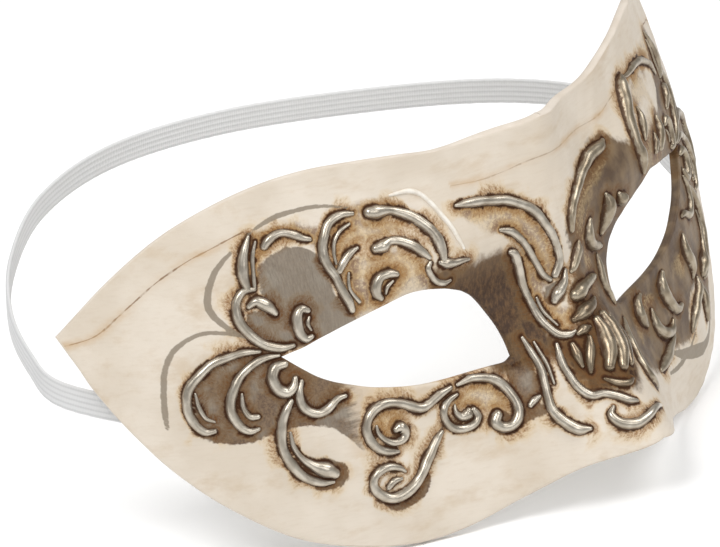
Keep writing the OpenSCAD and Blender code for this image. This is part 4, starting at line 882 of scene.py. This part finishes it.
c1, m1 = beside_line(U, AZ_, CREASE)
c2, m2 = beside_line(AX, AZ_, CREASE_TOP)
first = np.abs(c1) < np.abs(c2)
crease_d, crease_m = np.where(first, c1, c2), np.where(first, m1, 0.5 * m2)
shell = make_mesh("mask_shell", verts, [faces], [MAT_FRONT, MAT_RIM, MAT_INNER], fmat,
                  {"edge_d": edge_d, "edge_s": edge_s, "patch_d": patch_d, "wash_d": wash_d, "deep_d": deep_d,
                   "bronze_d": bronze_d, "paint_d": paint_d, "crease_d": crease_d, "crease_m": crease_m, "fade": fade, "level": AZ_})
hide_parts("shell")
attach(shell, "mask")


# --------------------------------------------------------------------- the band
def inner_at(side, x, zw, d):
    x = np.atleast_1d(np.asarray(x, float)) * side
    zw = np.broadcast_to(np.asarray(zw, float), x.shape)
    return depth(x, zw - rise(x), np.broadcast_to(np.asarray(d, float), x.shape))


def band_side(side):
    near = [inner_at(side, BAND_START + 0.9, BAND_Z, SHELL_T + 1.4)[0],
            inner_at(side, BAND_START + 4.5, BAND_Z, SHELL_T + 2.0)[0],
            inner_at(side, BAND_START + 8.5, BAND_Z + 0.2, SHELL_T + 3.0)[0]]
    return near + [np.array([side * a, b, c], float) for a, b, c in BAND_FREE]


route = curve(np.array(band_side(R) + [np.array([0, BAND_REACH, 0.0])] + band_side(L)[::-1]), 20)
arc = np.concatenate([[0], np.cumsum(np.linalg.norm(np.diff(route, axis=0), axis=1))])
BAND_LEN = float(arc[-1])


def band_mesh(name, line, s0):
    """The ribbed strip along a line of points, its width upright."""
    t = unit(np.gradient(line, axis=0))
    zc = np.zeros_like(t)
    zc[:, 2] = 1
    w = unit(zc - t * t[:, 2:3])
    nn = np.cross(w, t)
    a = np.concatenate([[0], np.cumsum(np.linalg.norm(np.diff(line, axis=0), axis=1))]) + s0
    g = np.linspace(-1, 1, 31)
    thick = 0.5 * BAND_T * (0.70 + 0.30 * np.abs(np.sin(math.pi * (g * 2.5 + 0.5)))) * np.sqrt(np.clip(1 - g**8, 0.03, 1))
    prof = np.concatenate([np.stack([thick, g], -1), np.stack([-thick[::-1], g[::-1]], -1)])
    half = 0.5 * BAND_W * (1 - 0.008 * (1 + np.sin(a * 2 * math.pi / 1.1)))
    P = line[:, None] + nn[:, None] * prof[None, :, 0:1] + w[:, None] * (half[:, None] * prof[None, :, 1])[..., None]
    k, m = len(prof), len(line)
    i = np.arange(m - 1)[:, None] * k
    j = np.arange(k)[None]
    jn = (j + 1) % k
    quads = np.stack([i + j, i + jn, i + k + jn, i + k + j], -1).reshape(-1, 4)
    ends = [np.arange(k)[::-1][None], (np.arange(k) + (m - 1) * k)[None]]
    return make_mesh(name, P.reshape(-1, 3), [quads] + ends, [MAT_BAND],
                     attrs={"band_s": np.repeat(a, k), "band_b": np.tile(prof[:, 1] * BAND_W / 2, m)})


steps = np.linspace(0, BAND_LEN, int(BAND_LEN / 0.8) + 1)
line = np.stack([np.interp(steps, arc, route[:, k]) for k in range(3)], -1)
band = band_mesh("elastic_band_strip", line, 0)
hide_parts("elastic_band")
few = line[:: max(1, len(line) // 70)]
few = np.concatenate([few, line[-1:]]) if np.linalg.norm(few[-1] - line[-1]) > 0.01 else few
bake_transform(band)

# The band's ends under the glued cloth, which stay with the shell.
for side, nm in ((R, "right"), (L, "left")):
    xs = np.linspace(BAND_START - 9, BAND_START + 0.95, 14)
    tail = inner_at(side, xs, BAND_Z, SHELL_T + np.interp(xs, [BAND_START - 9, BAND_START], [1.1, 1.38]))
    o = band_mesh("band_end_" + nm, tail, 500)
    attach(o, "mask")

# The glued cloth tabs: thin at their edges, raised where the band lies under them.
for side, nm in ((R, "right"), (L, "left")):
    nu, nv = 40, 36
    gu, gv = np.meshgrid(np.linspace(0, 1, nu), np.linspace(-1, 1, nv), indexing="ij")
    fray = 0.25 * np.sin(gv * 17 + 1.2 * side) * (gu > 0.96) + 0.25 * np.sin(gv * 23) * (gu < 0.04)
    x = BAND_START - TAB_LEN + TAB_LEN * gu + fray
    zw = BAND_Z + TAB_HIGH / 2 * gv + 0.18 * np.sin(gu * 21 + side) * (np.abs(gv) > 0.96)
    lump = smooth((1.0 - np.abs(gv) * 6 / 4.4) / 0.34) * smooth((gu + 0.02) / 0.25)
    rimd = smooth((1 - np.abs(gv)) / 0.12) * smooth((1.001 - gu) / 0.05) * smooth(gu / 0.08)
    top = SHELL_T + 0.35 + 0.25 * rimd + 1.75 * lump + 0.06 * np.sin(gu * 9 + gv * 5)
    low = SHELL_T - 0.15 + 0 * top
    shape = x.shape
    T_ = depth(side * x, zw - rise(side * x), top).reshape(-1, 3)
    B_ = depth(side * x, zw - rise(side * x), low).reshape(-1, 3)
    n0 = nu * nv
    I = np.arange(n0).reshape(nu, nv)
    up_ = np.stack([I[:-1, :-1], I[1:, :-1], I[1:, 1:], I[:-1, 1:]], -1).reshape(-1, 4)
    if side == L:
        up_ = up_[:, ::-1]
    dn = up_[:, ::-1] + n0
    loop = np.concatenate([I[:, 0], I[-1, 1:], I[-2::-1, -1], I[0, -2:0:-1]])
    nx = np.roll(loop, -1)
    wall = np.stack([loop, loop + n0, nx + n0, nx], -1)
    if side == L:
        wall = wall[:, ::-1]
    o = make_mesh("band_tab_" + nm, np.concatenate([T_, B_]), [up_, dn, wall], [MAT_CLOTH],
                  attrs={"tab_u": np.tile((gu * TAB_LEN).ravel(), 2), "tab_v": np.tile((gv * TAB_HIGH / 2).ravel(), 2)})
    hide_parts(nm + "_band_tab")
    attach(o, "mask")

# ------------------------------------------------------------- floor and lights
LOW = float(verts[:, 2].min())


def floor_material():
    m = Nodes("pale_floor")
    p = m.place((1, 1, 1))
    col = m.mix(m.noise(p, 0.004, 2), (0.965, 0.965, 0.965), (0.98, 0.98, 0.98))
    m.set(Base_Color=col, Roughness=m.range(m.noise(p, 0.02, 2), 0.0, 1.0, 0.75, 0.85))
    return m.mat


floor = make_mesh("floor", [[-6000, -6000, LOW - 0.4], [6000, -6000, LOW - 0.4], [6000, 6000, LOW - 0.4], [-6000, 6000, LOW - 0.4]],
                  [np.array([[0, 1, 2, 3]])], [floor_material()])


def lamp(name, az, el, dist, size, power, colour=(1, 1, 1)):
    a, e = math.radians(az), math.radians(el)
    b = Vector((math.sin(a) * math.cos(e), -math.cos(a) * math.cos(e), math.sin(e)))
    d = bpy.data.lights.new(name, "AREA")
    d.shape, d.size, d.energy, d.color = "DISK", size, power, colour
    o = bpy.data.objects.new(name, d)
    scene.collection.objects.link(o)
    o.location = Vector((0, 0.03, 0)) + b * dist
    o.rotation_mode = "QUATERNION"
    o.rotation_quaternion = (-b).to_track_quat("-Z", "Y")


lamp("key", -82, 50, 1.3, 0.6, 8.6)
lamp("fill", -14, 34, 1.5, 0.8, 4.5)
lamp("side", 48, 58, 1.5, 0.9, 8.5)
lamp("rim", 170, 62, 1.6, 0.8, 5)
world = bpy.data.worlds.new("studio")
scene.world = world
world.use_nodes = True
world.node_tree.nodes["Background"].inputs[0].default_value = (1, 1, 1, 1)
world.node_tree.nodes["Background"].inputs[1].default_value = 0.36

bpy.context.view_layer.update()
